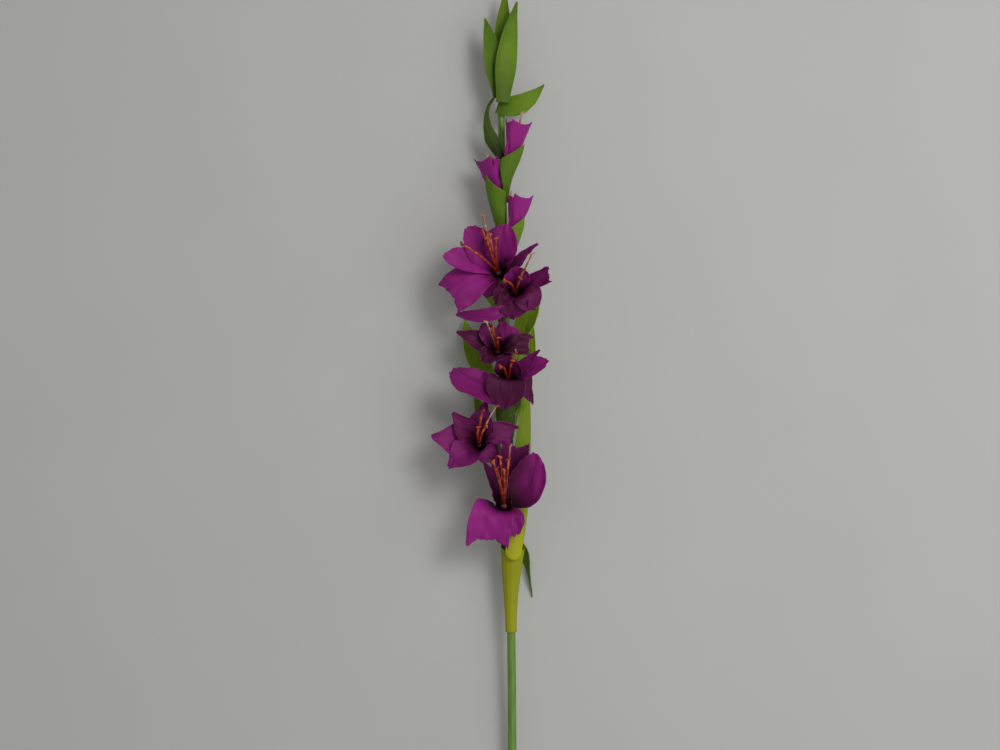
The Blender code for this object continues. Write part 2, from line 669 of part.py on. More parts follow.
stem(stem_plastic, wire_steel, home)
for letter, row in BLOOMS.items():
    bloom(f"bloom_{letter}", row, petal_cloth, home)
    throat, faces = Vector(row["throat"]), Vector(row["faces"]).normalized()
    stamens(f"stamens_{letter}", throat, faces, STAMENS[letter], stamen_plastic, home)
for number, row in BUDS.items():
    bud(f"bud_{number}", row, petal_cloth, home)
    foot, faces = Vector(row["foot"]), Vector(row["faces"]).normalized()
    stamens(f"bud_stamens_{number}", foot, faces, row["stamens"], stamen_plastic, home)
for name, row in LEAVES.items():
    leaf(name, row, leaf_cloth, home)
for name, row in LAID_LEAVES.items():
    laid_leaf(name, row, sleeve_cloth if name == "sleeve" else leaf_cloth, home)
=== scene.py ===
# %% [markdown]
# # Artificial gladiolus stem, dressed for its picture
#
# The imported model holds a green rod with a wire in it, six open blooms, three half-open buds and the green
# leaves between them, all as plain solids. This lesson dresses them. Every petal and leaf is worked out again
# as a fine, thin sheet from the same sizes, so that each stays where its solid is, and gets the look of
# heat-pressed cloth. The stem lies on a pale floor with its blooms up, and the camera looks straight down.

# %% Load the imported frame
import math

import bpy
import numpy as np
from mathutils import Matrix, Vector


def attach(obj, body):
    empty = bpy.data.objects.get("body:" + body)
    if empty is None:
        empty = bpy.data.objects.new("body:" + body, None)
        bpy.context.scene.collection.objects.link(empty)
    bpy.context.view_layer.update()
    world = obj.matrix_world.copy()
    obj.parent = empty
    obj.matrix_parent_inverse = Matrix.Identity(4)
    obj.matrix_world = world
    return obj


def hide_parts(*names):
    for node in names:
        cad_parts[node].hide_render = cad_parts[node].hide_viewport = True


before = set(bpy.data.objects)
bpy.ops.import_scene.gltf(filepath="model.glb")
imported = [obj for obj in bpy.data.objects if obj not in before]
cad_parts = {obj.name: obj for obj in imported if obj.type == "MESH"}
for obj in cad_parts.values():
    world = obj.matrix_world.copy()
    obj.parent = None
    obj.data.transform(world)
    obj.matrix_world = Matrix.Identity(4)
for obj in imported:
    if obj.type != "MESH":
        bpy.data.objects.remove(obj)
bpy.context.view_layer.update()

# %% [markdown]
# ## Places and sizes
#
# Sizes are in millimetres. X and Y start at the foot of the yellow-green sleeve, on the stem's centre line,
# and Z at the floor. The model's own origin is the middle of its box, so two numbers move a place there.
# Real petals of this kind are cut from cloth about 0.4 mm thick. The solids needed twice that to be sound.
# Parts that sit in one another keep a small clearance.

# %% Where the origin lies, and how thick the cloth is
MM = 0.001
ORIGIN = np.array([-16.33, 91.0, 0.0])
CLEARANCE = 0.3
PETAL_CLOTH = 0.45
LEAF_CLOTH = 0.55


def place(points):
    """Places in the tables as places in the model: take the origin away, then turn millimetres to metres."""
    return (np.asarray(points, float) - ORIGIN) * MM


# %% [markdown]
# ## Curves and directions
#
# Nearly every shape here is a strip bent over a curve, or a round skin round one. Both need the same few
# helpers: a smooth start and end, unit vectors, and a smooth route through a list of places.

# %% Helpers for whole arrays
def ease(share):
    """A share from 0 to 1 with a slow start and a slow end: 3 s squared less 2 s cubed."""
    held = np.clip(share, 0.0, 1.0)
    return held * held * (3 - 2 * held)


def unit(vectors):
    """Each vector divided by its length."""
    return vectors / np.maximum(np.linalg.norm(vectors, axis=-1, keepdims=True), 1e-12)


def dot(a, b):
    """Scalar product of vectors, row by row, kept as a column."""
    return np.sum(a * b, axis=-1, keepdims=True)


def through(points, shares):
    """A smooth curve through the points, at shares of its number of spans.

    Each span is the cubic that passes through its two ends with the slope of the line between their
    neighbours. The places beyond both ends are mirrored.
    """
    known = np.asarray(points, float)
    known = known.reshape(len(known), -1)
    known = np.vstack([2 * known[0] - known[1], known, 2 * known[-1] - known[-2]])
    at = np.clip(shares, 0.0, 1.0) * (len(known) - 3)
    span = np.minimum(at.astype(int), len(known) - 4)
    t = (at - span)[:, None]
    p0, p1, p2, p3 = (known[span + step] for step in range(4))
    square, cube = 2 * p0 - 5 * p1 + 4 * p2 - p3, 3 * p1 - p0 - 3 * p2 + p3
    return (2 * p1 + (p2 - p0) * t + square * t**2 + cube * t**3) / 2


def headings(path):
    """Unit direction of a path at each of its points, from the points on both sides."""
    return unit(np.gradient(path, axis=0))


# %% [markdown]
# ## A thin sheet with two faces
#
# A sheet starts as a grid of points. Cloth has thickness, so the grid is moved half of it to each side along
# its own normals, and a strip of faces closes the rim. That makes one closed body with faces that look out.
# Four numbers go along with each point, because the dyes, veins and weave follow the cloth and not the room:
# how far along the sheet it lies, how far across, how far from the cut edge, and which face it is on. A
# round skin has no cut edge, so its points are put far from one.

# %% Turn grids of points into closed skins
FAR_FROM_EDGE = 9.0


def sheet(points, along, across, edge, thickness):
    """Both faces of a grid and the rim that joins them.

    The first face looks along the cross product of a step across and a step along.
    """
    normal = unit(np.cross(np.gradient(points, axis=1), np.gradient(points, axis=0)))
    half = normal * thickness / 2
    rows, columns = along.shape
    count = rows * columns
    index = np.arange(count).reshape(rows, columns)
    quads = np.stack([index[:-1, :-1], index[:-1, 1:], index[1:, 1:], index[1:, :-1]], axis=-1).reshape(-1, 4)
    border = np.concatenate([index[0, :-1], index[:-1, -1], index[-1, :0:-1], index[:0:-1, 0]])
    onward = np.roll(border, -1)
    rim = np.stack([border, border + count, onward + count, onward], axis=-1)
    return {
        "points": np.concatenate([(points + half).reshape(-1, 3), (points - half).reshape(-1, 3)]),
        "faces": np.concatenate([quads, quads[:, ::-1] + count, rim]).tolist(),
        "along": np.tile(along.ravel(), 2),
        "across": np.tile(across.ravel(), 2),
        "edge": np.tile(edge.ravel(), 2),
        "under": np.repeat([0.0, 1.0], count),
    }


def skin(centres, aheads, radii, sides=20):
    """A round skin along a path, closed by a fan at both ends.

    A ring's point at angle a is centre + radius (side cos a + up sin a), where side and up are square to the
    path. The radius may change from ring to ring and round the ring.
    """
    centres, aheads = np.asarray(centres, float), unit(np.asarray(aheads, float))
    guide = np.eye(3)[np.argmin(np.abs(aheads).max(axis=0))]
    side = unit(np.cross(aheads, guide))
    up = np.cross(aheads, side)
    turn = np.arange(sides) * math.tau / sides
    radii = np.broadcast_to(np.asarray(radii, float).reshape(len(centres), -1), (len(centres), sides))
    ring = side[:, None] * np.cos(turn)[None, :, None] + up[:, None] * np.sin(turn)[None, :, None]
    points = centres[:, None] + ring * radii[..., None]
    rings = len(centres)
    index = np.arange(rings * sides).reshape(rings, sides)
    beside = np.roll(index, -1, axis=1)
    quads = np.stack([index[:-1], beside[:-1], beside[1:], index[1:]], axis=-1).reshape(-1, 4)
    first, last = rings * sides, rings * sides + 1
    start = np.stack([np.full(sides, first), beside[0], index[0]], axis=-1)
    end = np.stack([np.full(sides, last), index[-1], beside[-1]], axis=-1)
    along = np.repeat(np.linspace(0.0, 1.0, rings), sides)
    across = np.tile(np.linspace(-1.0, 1.0, sides), rings)
    return {
        "points": np.concatenate([points.reshape(-1, 3), centres[:1], centres[-1:]]),
        "faces": quads.tolist() + start.tolist() + end.tolist(),
        "along": np.append(along, [0.0, 1.0]),
        "across": np.append(across, [0.0, 0.0]),
        "edge": np.full(first + 2, FAR_FROM_EDGE),
        "under": np.zeros(first + 2),
    }


# %% [markdown]
# ## From skins to a piece
#
# A bloom is one piece in the hand, though it's made of several sheets, so its skins are put into one mesh.
# The piece stands for one node of the imported model, rides on the same body, and takes the finish that it is
# given. The mesh keeps each point's four numbers and its skin's dye and painted shade as attributes for the
# materials.

# %% Put skins into one mesh that stands for a node
made = {}


def shown(name, data):
    """A new object with this data, put in the scene."""
    thing = bpy.data.objects.new(name, data)
    bpy.context.scene.collection.objects.link(thing)
    return thing


def piece(name, node, skins, finish, dyes_and_shade=None):
    """One object from several skins, which takes the place of a node.

    A skin's dyed colour and painted shade come from its tint, its reach, and perhaps how much lighter it gets
    from one side to the other, which is painted light falling on that side.
    """
    starts = np.cumsum([0] + [len(part["points"]) for part in skins[:-1]])
    faces = []
    for part, start in zip(skins, starts):
        faces += [[corner + start for corner in face] for face in part["faces"]]
    points = np.concatenate([part["points"] for part in skins])
    mesh = bpy.data.meshes.new(name)
    mesh.from_pydata(place(points), [], faces)
    labels = ("along", "across", "edge", "under")
    carries = {label: np.concatenate([part[label] for part in skins]) for label in labels}
    sizes = [len(part["points"]) for part in skins]
    rows = [(*dye_with_painted_light, 0.0)[:3] for dye_with_painted_light in dyes_and_shade or [(0.5, 0.7)] * len(skins)]
    tint, reach, slant = np.repeat(np.array(rows, float), sizes, axis=0).T
    # The slant makes one side of a petal lighter: painted light falling on that side.
    carries |= {"tint": tint + slant * carries["across"], "reach": reach}
    for label, values in carries.items():
        layer = mesh.attributes.new(label, "FLOAT", "POINT")
        layer.data.foreach_set("value", values.astype(np.float32))
    mesh.polygons.foreach_set("use_smooth", np.ones(len(mesh.polygons), bool))
    mesh.materials.append(finish)
    mesh.validate()
    thing = shown(name, mesh)
    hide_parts(node)
    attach(thing, "root")
    made[name] = sum(len(face) - 2 for face in faces)


# %% [markdown]
# ## Nodes that the materials share
#
# A material is a small graph of nodes. Small helpers keep the graphs readable: one adds a node and wires its
# inputs, another does one sum, and so on. What more than one material needs is a node group, made once.

# %% Helpers for node graphs
def new_finish(name):
    """A new material, with its graph and the shader in it."""
    finish = bpy.data.materials.new(name)
    finish.use_nodes = True
    return finish, finish.node_tree, finish.node_tree.nodes["Principled BSDF"]


def add(tree, kind, inputs=(), **settings):
    """A node of this kind with its settings. Inputs are (name, socket to wire or value to set)."""
    new = tree.nodes.new(kind)
    for key, value in settings.items():
        setattr(new, key, value)
    for key, value in inputs:
        if isinstance(value, bpy.types.NodeSocket):
            tree.links.new(value, new.inputs[key])
        else:
            new.inputs[key].default_value = value
    return new


def sum_of(tree, operation, *terms, clamp=False):
    """One sum of sockets or numbers, such as DIVIDE, POWER or SINE."""
    return add(tree, "ShaderNodeMath", enumerate(terms), operation=operation, use_clamp=clamp).outputs[0]


def times(tree, *terms):
    """The product of two sockets or numbers."""
    return sum_of(tree, "MULTIPLY", *terms)


def plus(tree, *terms, clamp=False):
    """Two sockets or numbers added. With clamp the result is held between 0 and 1."""
    return sum_of(tree, "ADD", *terms, clamp=clamp)


def graded(tree, value, low, high):
    """A value from low to high turned into a share from 0 to 1, with a slow start and a slow end."""
    inputs = [("Value", value), ("From Min", low), ("From Max", high)]
    return add(tree, "ShaderNodeMapRange", inputs, interpolation_type="SMOOTHSTEP").outputs["Result"]


def blended(tree, share, first, second):
    """First colour where the share is 0, second colour where it is 1."""
    inputs = [(0, share), (6, first), (7, second)]
    return add(tree, "ShaderNodeMix", inputs, data_type="RGBA").outputs[2]


def carried(tree, label):
    """The number that the mesh carries under this label."""
    return add(tree, "ShaderNodeAttribute", attribute_name=label).outputs["Fac"]


def speckle(tree, scale, detail=3.0, stretch=(1.0, 1.0, 1.0)):
    """Cloudy noise in the piece's own space. Stretch squeezes it along an axis."""
    where = add(tree, "ShaderNodeTexCoord").outputs["Object"]
    moved = add(tree, "ShaderNodeMapping", [("Vector", where), ("Scale", stretch)]).outputs[0]
    inputs = [("Vector", moved), ("Scale", scale), ("Detail", detail)]
    return add(tree, "ShaderNodeTexNoise", inputs).outputs[0]


def new_group(name, inputs, outputs):
    """An empty node group with named inputs (name, kind, value) and outputs (name, kind)."""
    tree = bpy.data.node_groups.new(name, "ShaderNodeTree")
    for title, kind, value in inputs:
        tree.interface.new_socket(title, in_out="INPUT", socket_type=kind).default_value = value
    for title, kind in outputs:
        tree.interface.new_socket(title, in_out="OUTPUT", socket_type=kind)
    return tree, tree.nodes.new("NodeGroupInput").outputs, tree.nodes.new("NodeGroupOutput").inputs


# %% [markdown]
# ## Weave
#
# The petals and leaves are woven polyester. A weave is two sets of threads that cross, and where one is up
# the other is down. The threads are straight in the bolt of cloth before it's pressed, so the pattern uses
# the object's own space and is softened by a slow drift. Its threads are about 0.4 mm apart.

# %% The weave of the cloth
weave, given, sends = new_group(
    "woven_threads",
    [("Pitch", "NodeSocketFloat", 0.42)],
    [("Height", "NodeSocketFloat")],
)
spot = add(weave, "ShaderNodeTexCoord").outputs["Object"]
parts = add(weave, "ShaderNodeSeparateXYZ", [(0, spot)]).outputs
per_metre = sum_of(weave, "DIVIDE", math.pi / MM, given["Pitch"])
drift = times(weave, speckle(weave, 60.0, 1.0), 9.0)
warp = sum_of(weave, "SINE", plus(weave, times(weave, parts["X"], per_metre), drift))
weft = sum_of(weave, "SINE", plus(weave, times(weave, parts["Y"], per_metre), drift))
crossing = times(weave, times(weave, warp, weft), 0.5)
weave.links.new(plus(weave, crossing, 0.5), sends["Height"])
print("group:", weave.name)

# %% [markdown]
# ## Pressed veins
#
# A hot die presses veins into each petal and leaf. On a petal they fan out from the root, and on a leaf they
# run side by side. Both come from the same number, the share of the way across, because it fans out with the
# outline by itself. A little noise bends the lines and makes some stronger than others.

# %% The veins that a die presses in
veins, given, sends = new_group(
    "pressed_veins",
    [("Count", "NodeSocketFloat", 9.0), ("Wander", "NodeSocketFloat", 0.6)],
    [("Height", "NodeSocketFloat"), ("Line", "NodeSocketFloat")],
)
bent = times(veins, sum_of(veins, "SUBTRACT", speckle(veins, 45.0, 2.0), 0.5), given["Wander"])
lines = plus(veins, times(veins, carried(veins, "across"), given["Count"]), bent)
crest = sum_of(veins, "ABSOLUTE", sum_of(veins, "COSINE", times(veins, lines, math.pi / 2)))
strength = graded(veins, speckle(veins, 30.0, 1.0), 0.3, 0.7)
veins.links.new(times(veins, sum_of(veins, "POWER", crest, 3.0), strength), sends["Height"])
veins.links.new(times(veins, sum_of(veins, "POWER", crest, 14.0), strength), sends["Line"])
print("group:", veins.name)

# %% [markdown]
# ## Dye and painted light
#
# The colour is darkest at the root and brightest towards the end. This is partly the dye and partly painted
# shade, deep in the throat where the petals stand close together. The cut edge is melted with a hot knife,
# and a thin lighter line along it is a painted highlight on that edge. Each petal also takes the dye a little
# differently, and its tint carries painted light and shade as well. The group mixes three colours by those
# rules.

# %% How the dye and the painted shade run from root to edge
dye_with_painted_light, given, sends = new_group(
    "dye_and_painted_light",
    [
        ("Root", "NodeSocketColor", (0.05, 0.0, 0.03, 1.0)),
        ("Body", "NodeSocketColor", (0.3, 0.02, 0.2, 1.0)),
        ("Bright", "NodeSocketColor", (0.5, 0.05, 0.4, 1.0)),
        ("Rim", "NodeSocketFloat", 0.8),
    ],
    [("Color", "NodeSocketColor")],
)
cloud = speckle(dye_with_painted_light, 38.0)
# Darker towards the root: the dye, and painted shade deep in the throat.
reached = plus(dye_with_painted_light, carried(dye_with_painted_light, "along"), times(dye_with_painted_light, cloud, 0.25))
share = sum_of(dye_with_painted_light, "DIVIDE", sum_of(dye_with_painted_light, "SUBTRACT", reached, 0.12), carried(dye_with_painted_light, "reach"))
deep = graded(dye_with_painted_light, share, 0.0, 1.0)
patchy = times(dye_with_painted_light, sum_of(dye_with_painted_light, "SUBTRACT", cloud, 0.5), 0.9)
# The tint is partly the cloth's own tone and partly painted light and shade.
lighter = plus(dye_with_painted_light, carried(dye_with_painted_light, "tint"), patchy, clamp=True)
# A thin lighter line along the cut edge: a painted highlight.
rim = graded(dye_with_painted_light, carried(dye_with_painted_light, "edge"), given["Rim"], 0.0)
body = blended(dye_with_painted_light, deep, given["Root"], given["Body"])
dyed = blended(dye_with_painted_light, times(dye_with_painted_light, lighter, deep), body, given["Bright"])
dye_with_painted_light.links.new(blended(dye_with_painted_light, times(dye_with_painted_light, rim, 0.3), dyed, given["Bright"]), sends["Color"])
print("group:", dye_with_painted_light.name)

# %% [markdown]
# ## Cloth finishes
#
# All the cloth is the same stuff, so one function makes each finish from its colours, vein count and gloss.
# The bump adds three heights: the weave, the veins and a faint crumple. The colour is a little darker in the
# veins. The sleeve's inner face is painted darker, as the shade inside the sleeve. Two leaves that lie in the
# shade of the flowers get a darker copy of the green, which is painted shade.

# %% Make the cloth finishes
def cloth(name, root, body, bright, count, press, line, gloss, inside=None):
    """A cloth finish: dyed colour and painted shade by place, veins and weave as bump, a roughness that
    varies, and a soft sheen. An inner colour, when given, is painted shade on the inner face.
    """
    finish, tree, shader = new_finish(name)
    colours = [("Root", (*root, 1.0)), ("Body", (*body, 1.0)), ("Bright", (*bright, 1.0))]
    run = add(tree, "ShaderNodeGroup", colours, node_tree=dye_with_painted_light)
    pressed = add(tree, "ShaderNodeGroup", [("Count", count)], node_tree=veins)
    threads = add(tree, "ShaderNodeGroup", node_tree=weave)
    furrow = times(tree, pressed.outputs["Line"], line)
    shade = blended(tree, furrow, run.outputs["Color"], (*root, 1.0))
    # The inner face is painted darker: painted shade inside the sleeve.
    if inside:
        turned = sum_of(tree, "SUBTRACT", 1.0, carried(tree, "under"))
        shade = blended(tree, times(tree, turned, 0.6), shade, (*inside, 1.0))
    tree.links.new(shade, shader.inputs["Base Color"])
    rough = times(tree, speckle(tree, 90.0, 2.0), 0.22)
    tree.links.new(plus(tree, rough, gloss - 0.11), shader.inputs["Roughness"])
    height = times(tree, pressed.outputs["Height"], press)
    height = plus(tree, height, times(tree, threads.outputs["Height"], 0.05))
    height = plus(tree, height, times(tree, speckle(tree, 150.0), 0.25))
    bump = add(tree, "ShaderNodeBump", [("Height", height), ("Strength", 0.8), ("Distance", MM)])
    tree.links.new(bump.outputs["Normal"], shader.inputs["Normal"])
    sheen = {"Sheen Weight": 0.03, "Sheen Roughness": 0.4, "Sheen Tint": (*bright, 1.0)}
    for key, value in {"Specular IOR Level": 0.22, **sheen}.items():
        shader.inputs[key].default_value = value
    return finish


# The very dark first colour, at the root, is the dye there and painted shade deep in the throat.
petal_satin = cloth(
    "petal_satin", (0.020, 0.001, 0.006), (0.100, 0.004, 0.050), (0.375, 0.018, 0.262), 9.0, 0.2, 0.12, 0.56
)
leaf_green = cloth(
    "leaf_green", (0.080, 0.150, 0.008), (0.103, 0.200, 0.009), (0.270, 0.420, 0.016), 13.0, 0.2, 0.25, 0.52
)
# A darker copy of the green leaf cloth: painted shade for leaves that the flowers shade.
leaf_painted_shade = cloth(
    "leaf_painted_shade", (0.026, 0.042, 0.006), (0.048, 0.085, 0.008), (0.150, 0.250, 0.014), 13.0, 0.2, 0.25, 0.52
)
leaf_lime = cloth(
    "leaf_lime", (0.480, 0.480, 0.010), (0.190, 0.290, 0.008), (0.230, 0.330, 0.010), 13.0, 0.2, 0.10, 0.50
)
# The sleeve's last colour is painted shade on its inner face.
sleeve_yellow = cloth(
    "sleeve_yellow", (0.400, 0.400, 0.010), (0.280, 0.320, 0.008), (0.400, 0.400, 0.010),
    13.0, 0.2, 0.25, 0.50, inside=(0.045, 0.085, 0.006)
)
cloths = (petal_satin, leaf_green, leaf_painted_shade, leaf_lime, sleeve_yellow)
print("cloth finishes:", [finish.name for finish in cloths])

# %% [markdown]
# ## Plastic and wire
#
# The rod and the stamens are moulded polyethylene. Its gloss is soft and uneven, with faint flow streaks
# along the mould. The disc under the stamens is painted very dark as the shade deep in the throat. Their
# threads run from a dark red at the foot, which is painted shade as well, to orange, and the style is pale at
# its end. The wire in the rod is cut bare at the foot, so its end shows brushed steel.

# %% Make the plastic and steel finishes
def plastic(name, low, high, first, second, streaks, gloss):
    """A moulded plastic: one colour running to another along the piece, flow streaks, uneven gloss."""
    finish, tree, shader = new_finish(name)
    flow = speckle(tree, 60.0, stretch=streaks)
    wander = times(tree, flow, 0.2)
    run = graded(tree, plus(tree, carried(tree, "along"), wander), low, high)
    base = blended(tree, run, (*first, 1.0), (*second, 1.0))
    darker = tuple(0.72 * channel for channel in first)
    streaked = blended(tree, graded(tree, flow, 0.70, 0.35), base, (*darker, 1.0))
    tree.links.new(streaked, shader.inputs["Base Color"])
    rough = times(tree, speckle(tree, 200.0, 2.0), 0.2)
    tree.links.new(plus(tree, rough, gloss - 0.1), shader.inputs["Roughness"])
    bump = add(tree, "ShaderNodeBump", [("Height", flow), ("Strength", 0.35), ("Distance", 0.3 * MM)])
    tree.links.new(bump.outputs["Normal"], shader.inputs["Normal"])
    return finish


stem_green = plastic(
    "stem_green", 0.0, 1.2, (0.185, 0.370, 0.050), (0.150, 0.300, 0.035), (6.0, 0.6, 6.0), 0.40
)
# The dark red first colour, at the foot of the threads, is painted shade of the throat.
stamen_orange = plastic(
    "stamen_orange", 0.15, 0.95, (0.31, 0.010, 0.006), (0.78, 0.14, 0.028), (4.0, 4.0, 4.0), 0.42
)
# The disc's near-black colour is painted shade deep in the throat.
stamen_painted_shade = plastic(
    "stamen_painted_shade", 0.0, 1.0, (0.050, 0.002, 0.005), (0.110, 0.005, 0.007), (4.0, 4.0, 4.0), 0.55
)
stamen_pale = plastic(
    "stamen_pale", 0.05, 0.7, (0.55, 0.10, 0.030), (0.62, 0.44, 0.24), (4.0, 4.0, 4.0), 0.42
)

wire_end, tree, steel = new_finish("wire_end")
scratches = speckle(tree, 300.0, 4.0, (8.0, 0.3, 8.0))
grey = blended(tree, scratches, (0.36, 0.35, 0.34, 1.0), (0.62, 0.61, 0.60, 1.0))
tree.links.new(grey, steel.inputs["Base Color"])
uneven = plus(tree, times(tree, scratches, 0.3), 0.2)
tree.links.new(uneven, steel.inputs["Roughness"])
steel.inputs["Metallic"].default_value = 1.0
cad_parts["stem_wire"].material_slots[0].material = wire_end
hard = (stem_green, stamen_orange, stamen_painted_shade, stamen_pale, wire_end)
print("plastic and steel:", [finish.name for finish in hard])

# %% [markdown]
# ## The rod
#
# The stem is a moulded rod over a wire. Its centre line runs through eleven places, low at the cut end and
# higher under the blooms, which hold it off the floor. A fine ridge on both sides is left by the mould. The
# cut end is a ring of plastic round the hole for the wire. A short peg leads from the rod to each flower.

# %% The stem's line and its radius
STEM_ROUTE = [
    ((0.0, -334.0, 3.5), 3.5),
    ((0.2, -250.0, 4.8), 3.5),
    ((0.2, -150.0, 9.0), 3.5),
    ((0.0, -60.0, 15.0), 3.5),
    ((-0.6, 0.0, 18.8), 3.4),
    ((-1.5, 60.0, 21.2), 3.3),
    ((-3.2, 150.0, 22.0), 3.2),
    ((-5.2, 250.0, 22.0), 3.1),
    ((-7.0, 340.0, 21.6), 3.0),
    ((-8.5, 410.0, 21.0), 2.8),
    ((-8.2, 440.0, 21.0), 2.6),
]
BORE_RADIUS = 1.35
MOULD_RIDGE = 0.12

stem_shares = np.linspace(0.0, 1.0, 401)
stem_path = through([centre for centre, radius in STEM_ROUTE], stem_shares)
stem_radii = through([radius for centre, radius in STEM_ROUTE], stem_shares)[:, 0]
stem_ahead = headings(stem_path)


def stem_at(y):
    """The stem's centre and direction at a height of the tables, between its nearest samples."""
    centre = np.array([np.interp(y, stem_path[:, 1], stem_path[:, axis]) for axis in range(3)])
    ahead = np.array([np.interp(y, stem_path[:, 1], stem_ahead[:, axis]) for axis in range(3)])
    return centre, unit(ahead)


print("stem length, mm:", round(float(np.linalg.norm(np.diff(stem_path, axis=0), axis=1).sum()), 1))

# %% [markdown]
# ## Blooms and buds as tables
#
# Each flower has a throat, the way that it faces, and a row for each petal. A row gives the place of the
# petal's tip from the throat, how far its middle rises, its sideways bow, its half width, its outline, the
# curl at its tip, a turn about its own length, a wave at its edges, and the ring that it stands in.

# %% The petals' sizes
BLOOM_RINGS = (3.9, 5.3)
BUD_RINGS = (2.7, 3.8)
PETAL_SINK = 2.6
BLOOMS = {
    "a": {
        "throat": (-11.0, 287.0, 39.0),
        "faces": (-0.14, 0.28, 1.0),
        "petals": [
            ((-24.5, 35.0, 15.0), 11.0, 0.0, 13.5, "oval", 30.0, 0.0, 0.8, 1),
            ((6.5, 37.0, 15.0), 14.0, 0.0, 15.0, "broad", 42.0, 0.0, 1.0, 0),
            ((-43.0, 11.7, 16.0), 14.0, -2.0, 10.0, "oval", 15.0, 0.0, 0.8, 0),
            ((-37.4, -17.5, 11.0), 10.0, -1.5, 17.0, "square", -28.0, 0.0, 0.8, 1),
            ((31.2, 21.8, 20.0), 11.0, 0.0, 7.5, "point", 20.0, 78.0, 0.6, 1),
            ((-10.5, -19.0, -2.5), 1.5, 0.0, 8.0, "broad", 8.0, 0.0, 0.6, 0),
        ],
    },
    "b": {
        "throat": (1.6, 270.5, 36.0),
        "faces": (0.15, 0.42, 1.0),
        "petals": [
            ((0.8, 20.5, 19.0), 13.0, 0.0, 12.0, "broad", 35.0, 0.0, 1.0, 0),
            ((27.37, 12.1, 20.0), 11.0, 0.0, 9.0, "square", 65.0, 0.0, 0.4, 1),
            ((17.0, -12.0, 9.0), 13.0, 0.0, 12.0, "broad", 12.0, 10.0, 0.8, 0),
            ((-46.4, -16.0, -1.0), 3.0, 14.0, 6.0, "oval", 20.0, -10.0, 0.4, 1),
            ((-15.5, -7.0, 9.5), 9.0, 0.0, 9.0, "broad", 25.0, 0.0, 0.4, 0),
            ((-4.0, -20.0, 8.0), 9.0, 0.0, 13.0, "broad", 20.0, 0.0, 0.8, 1),
        ],
    },
    "c": {
        "throat": (-11.4, 224.5, 33.0),
        "faces": (-0.08, 0.42, 1.0),
        "petals": [
            ((-32.7, 15.8, 8.0), 10.0, 0.0, 9.0, "point", 18.0, 0.0, 0.4, 1),
            ((-12.4, 22.1, 9.0), 12.0, 0.0, 7.5, "oval", -15.0, 0.0, 0.4, 0),
            ((10.0, 20.7, 7.0), 10.0, 0.0, 9.5, "square", -20.0, 0.0, 0.8, 1),
            ((24.2, 4.5, 9.0), 12.0, 0.0, 9.5, "square", 10.0, 0.0, 1.4, 0),
            ((-12.5, -7.9, 8.0), 6.5, 0.0, 8.5, "oval", 25.0, 0.0, 0.5, 0),
            ((8.0, -9.9, 6.0), 6.5, 0.0, 8.0, "oval", 25.0, 0.0, 0.5, 1),
        ],
    },
    "d": {
        "throat": (-4.1, 200.8, 38.0),
        "faces": (0.1, 0.8, 1.0),
        "petals": [
            ((-43.0, 9.6, 9.0), 7.0, 15.0, 16.0, "oval", 20.0, 0.0, 0.8, 1),
            ((20.4, -17.2, 4.0), 9.0, 0.0, 12.5, "point", 15.0, 0.0, 0.8, 1),
            ((-3.5, -21.5, 13.5), 14.0, 0.0, 16.0, "broad", 12.0, 0.0, 0.8, 0),
            ((25.7, 25.0, 17.0), 12.0, 0.0, 6.5, "point", 35.0, 30.0, 0.6, 0),
            ((32.5, 16.0, 15.0), 10.0, 0.0, 9.3, "lobe", 30.0, 0.0, 0.4, 1),
            ((3.0, 19.8, 17.0), 11.0, 0.0, 12.0, "broad", 35.0, 0.0, 1.0, 1),
        ],
    },
    "e": {
        "throat": (-25.6, 150.3, 35.0),
        "faces": (-0.20, 0.22, 1.0),
        "petals": [
            ((-38.2, 7.3, 12.0), 11.0, 0.0, 15.5, "point", 20.0, 0.0, 0.8, 1),
            ((-21.4, 26.4, 12.0), 13.0, 0.0, 10.5, "point", 30.0, 0.0, 0.6, 0),
            ((4.8, 35.0, 9.0), 10.0, 0.0, 12.0, "point", 35.0, 0.0, 0.8, 1),
            ((24.5, 8.0, 8.0), 11.0, 4.5, 9.5, "square", 22.0, 0.0, 0.8, 0),
            ((-24.5, -17.5, 12.0), 13.0, 0.0, 13.0, "point", 20.0, 0.0, 0.8, 0),
            ((13.0, -9.5, 3.0), 6.0, 0.0, 10.5, "broad", 10.0, 0.0, 0.8, 1),
        ],
    },
    "f": {
        "throat": (-6.6, 102.3, 39.0),
        "faces": (0.05, 0.32, 1.0),
        "petals": [
            ((23.0, 42.5, 15.0), 10.0, -7.5, 16.0, "oval", 38.0, 0.0, 0.8, 1),
            ((9.6, 47.2, 9.0), 5.5, 0.0, 11.5, "square", 20.0, 0.0, 1.0, 0),
            ((-16.2, 36.0, 17.0), 11.0, 0.0, 9.0, "point", 25.0, 40.0, 0.6, 1),
            ((-12.8, -25.5, 10.0), 11.0, -4.0, 17.5, "wide", 12.0, 0.0, 0.4, 0),
            ((9.5, -23.0, 6.0), 8.0, 0.0, 11.0, "broad", 15.0, 0.0, 0.6, 1),
            ((-3.0, 41.5, 5.0), 5.0, 0.0, 10.5, "oval", 20.0, 0.0, 0.6, 1),
        ],
    },
}
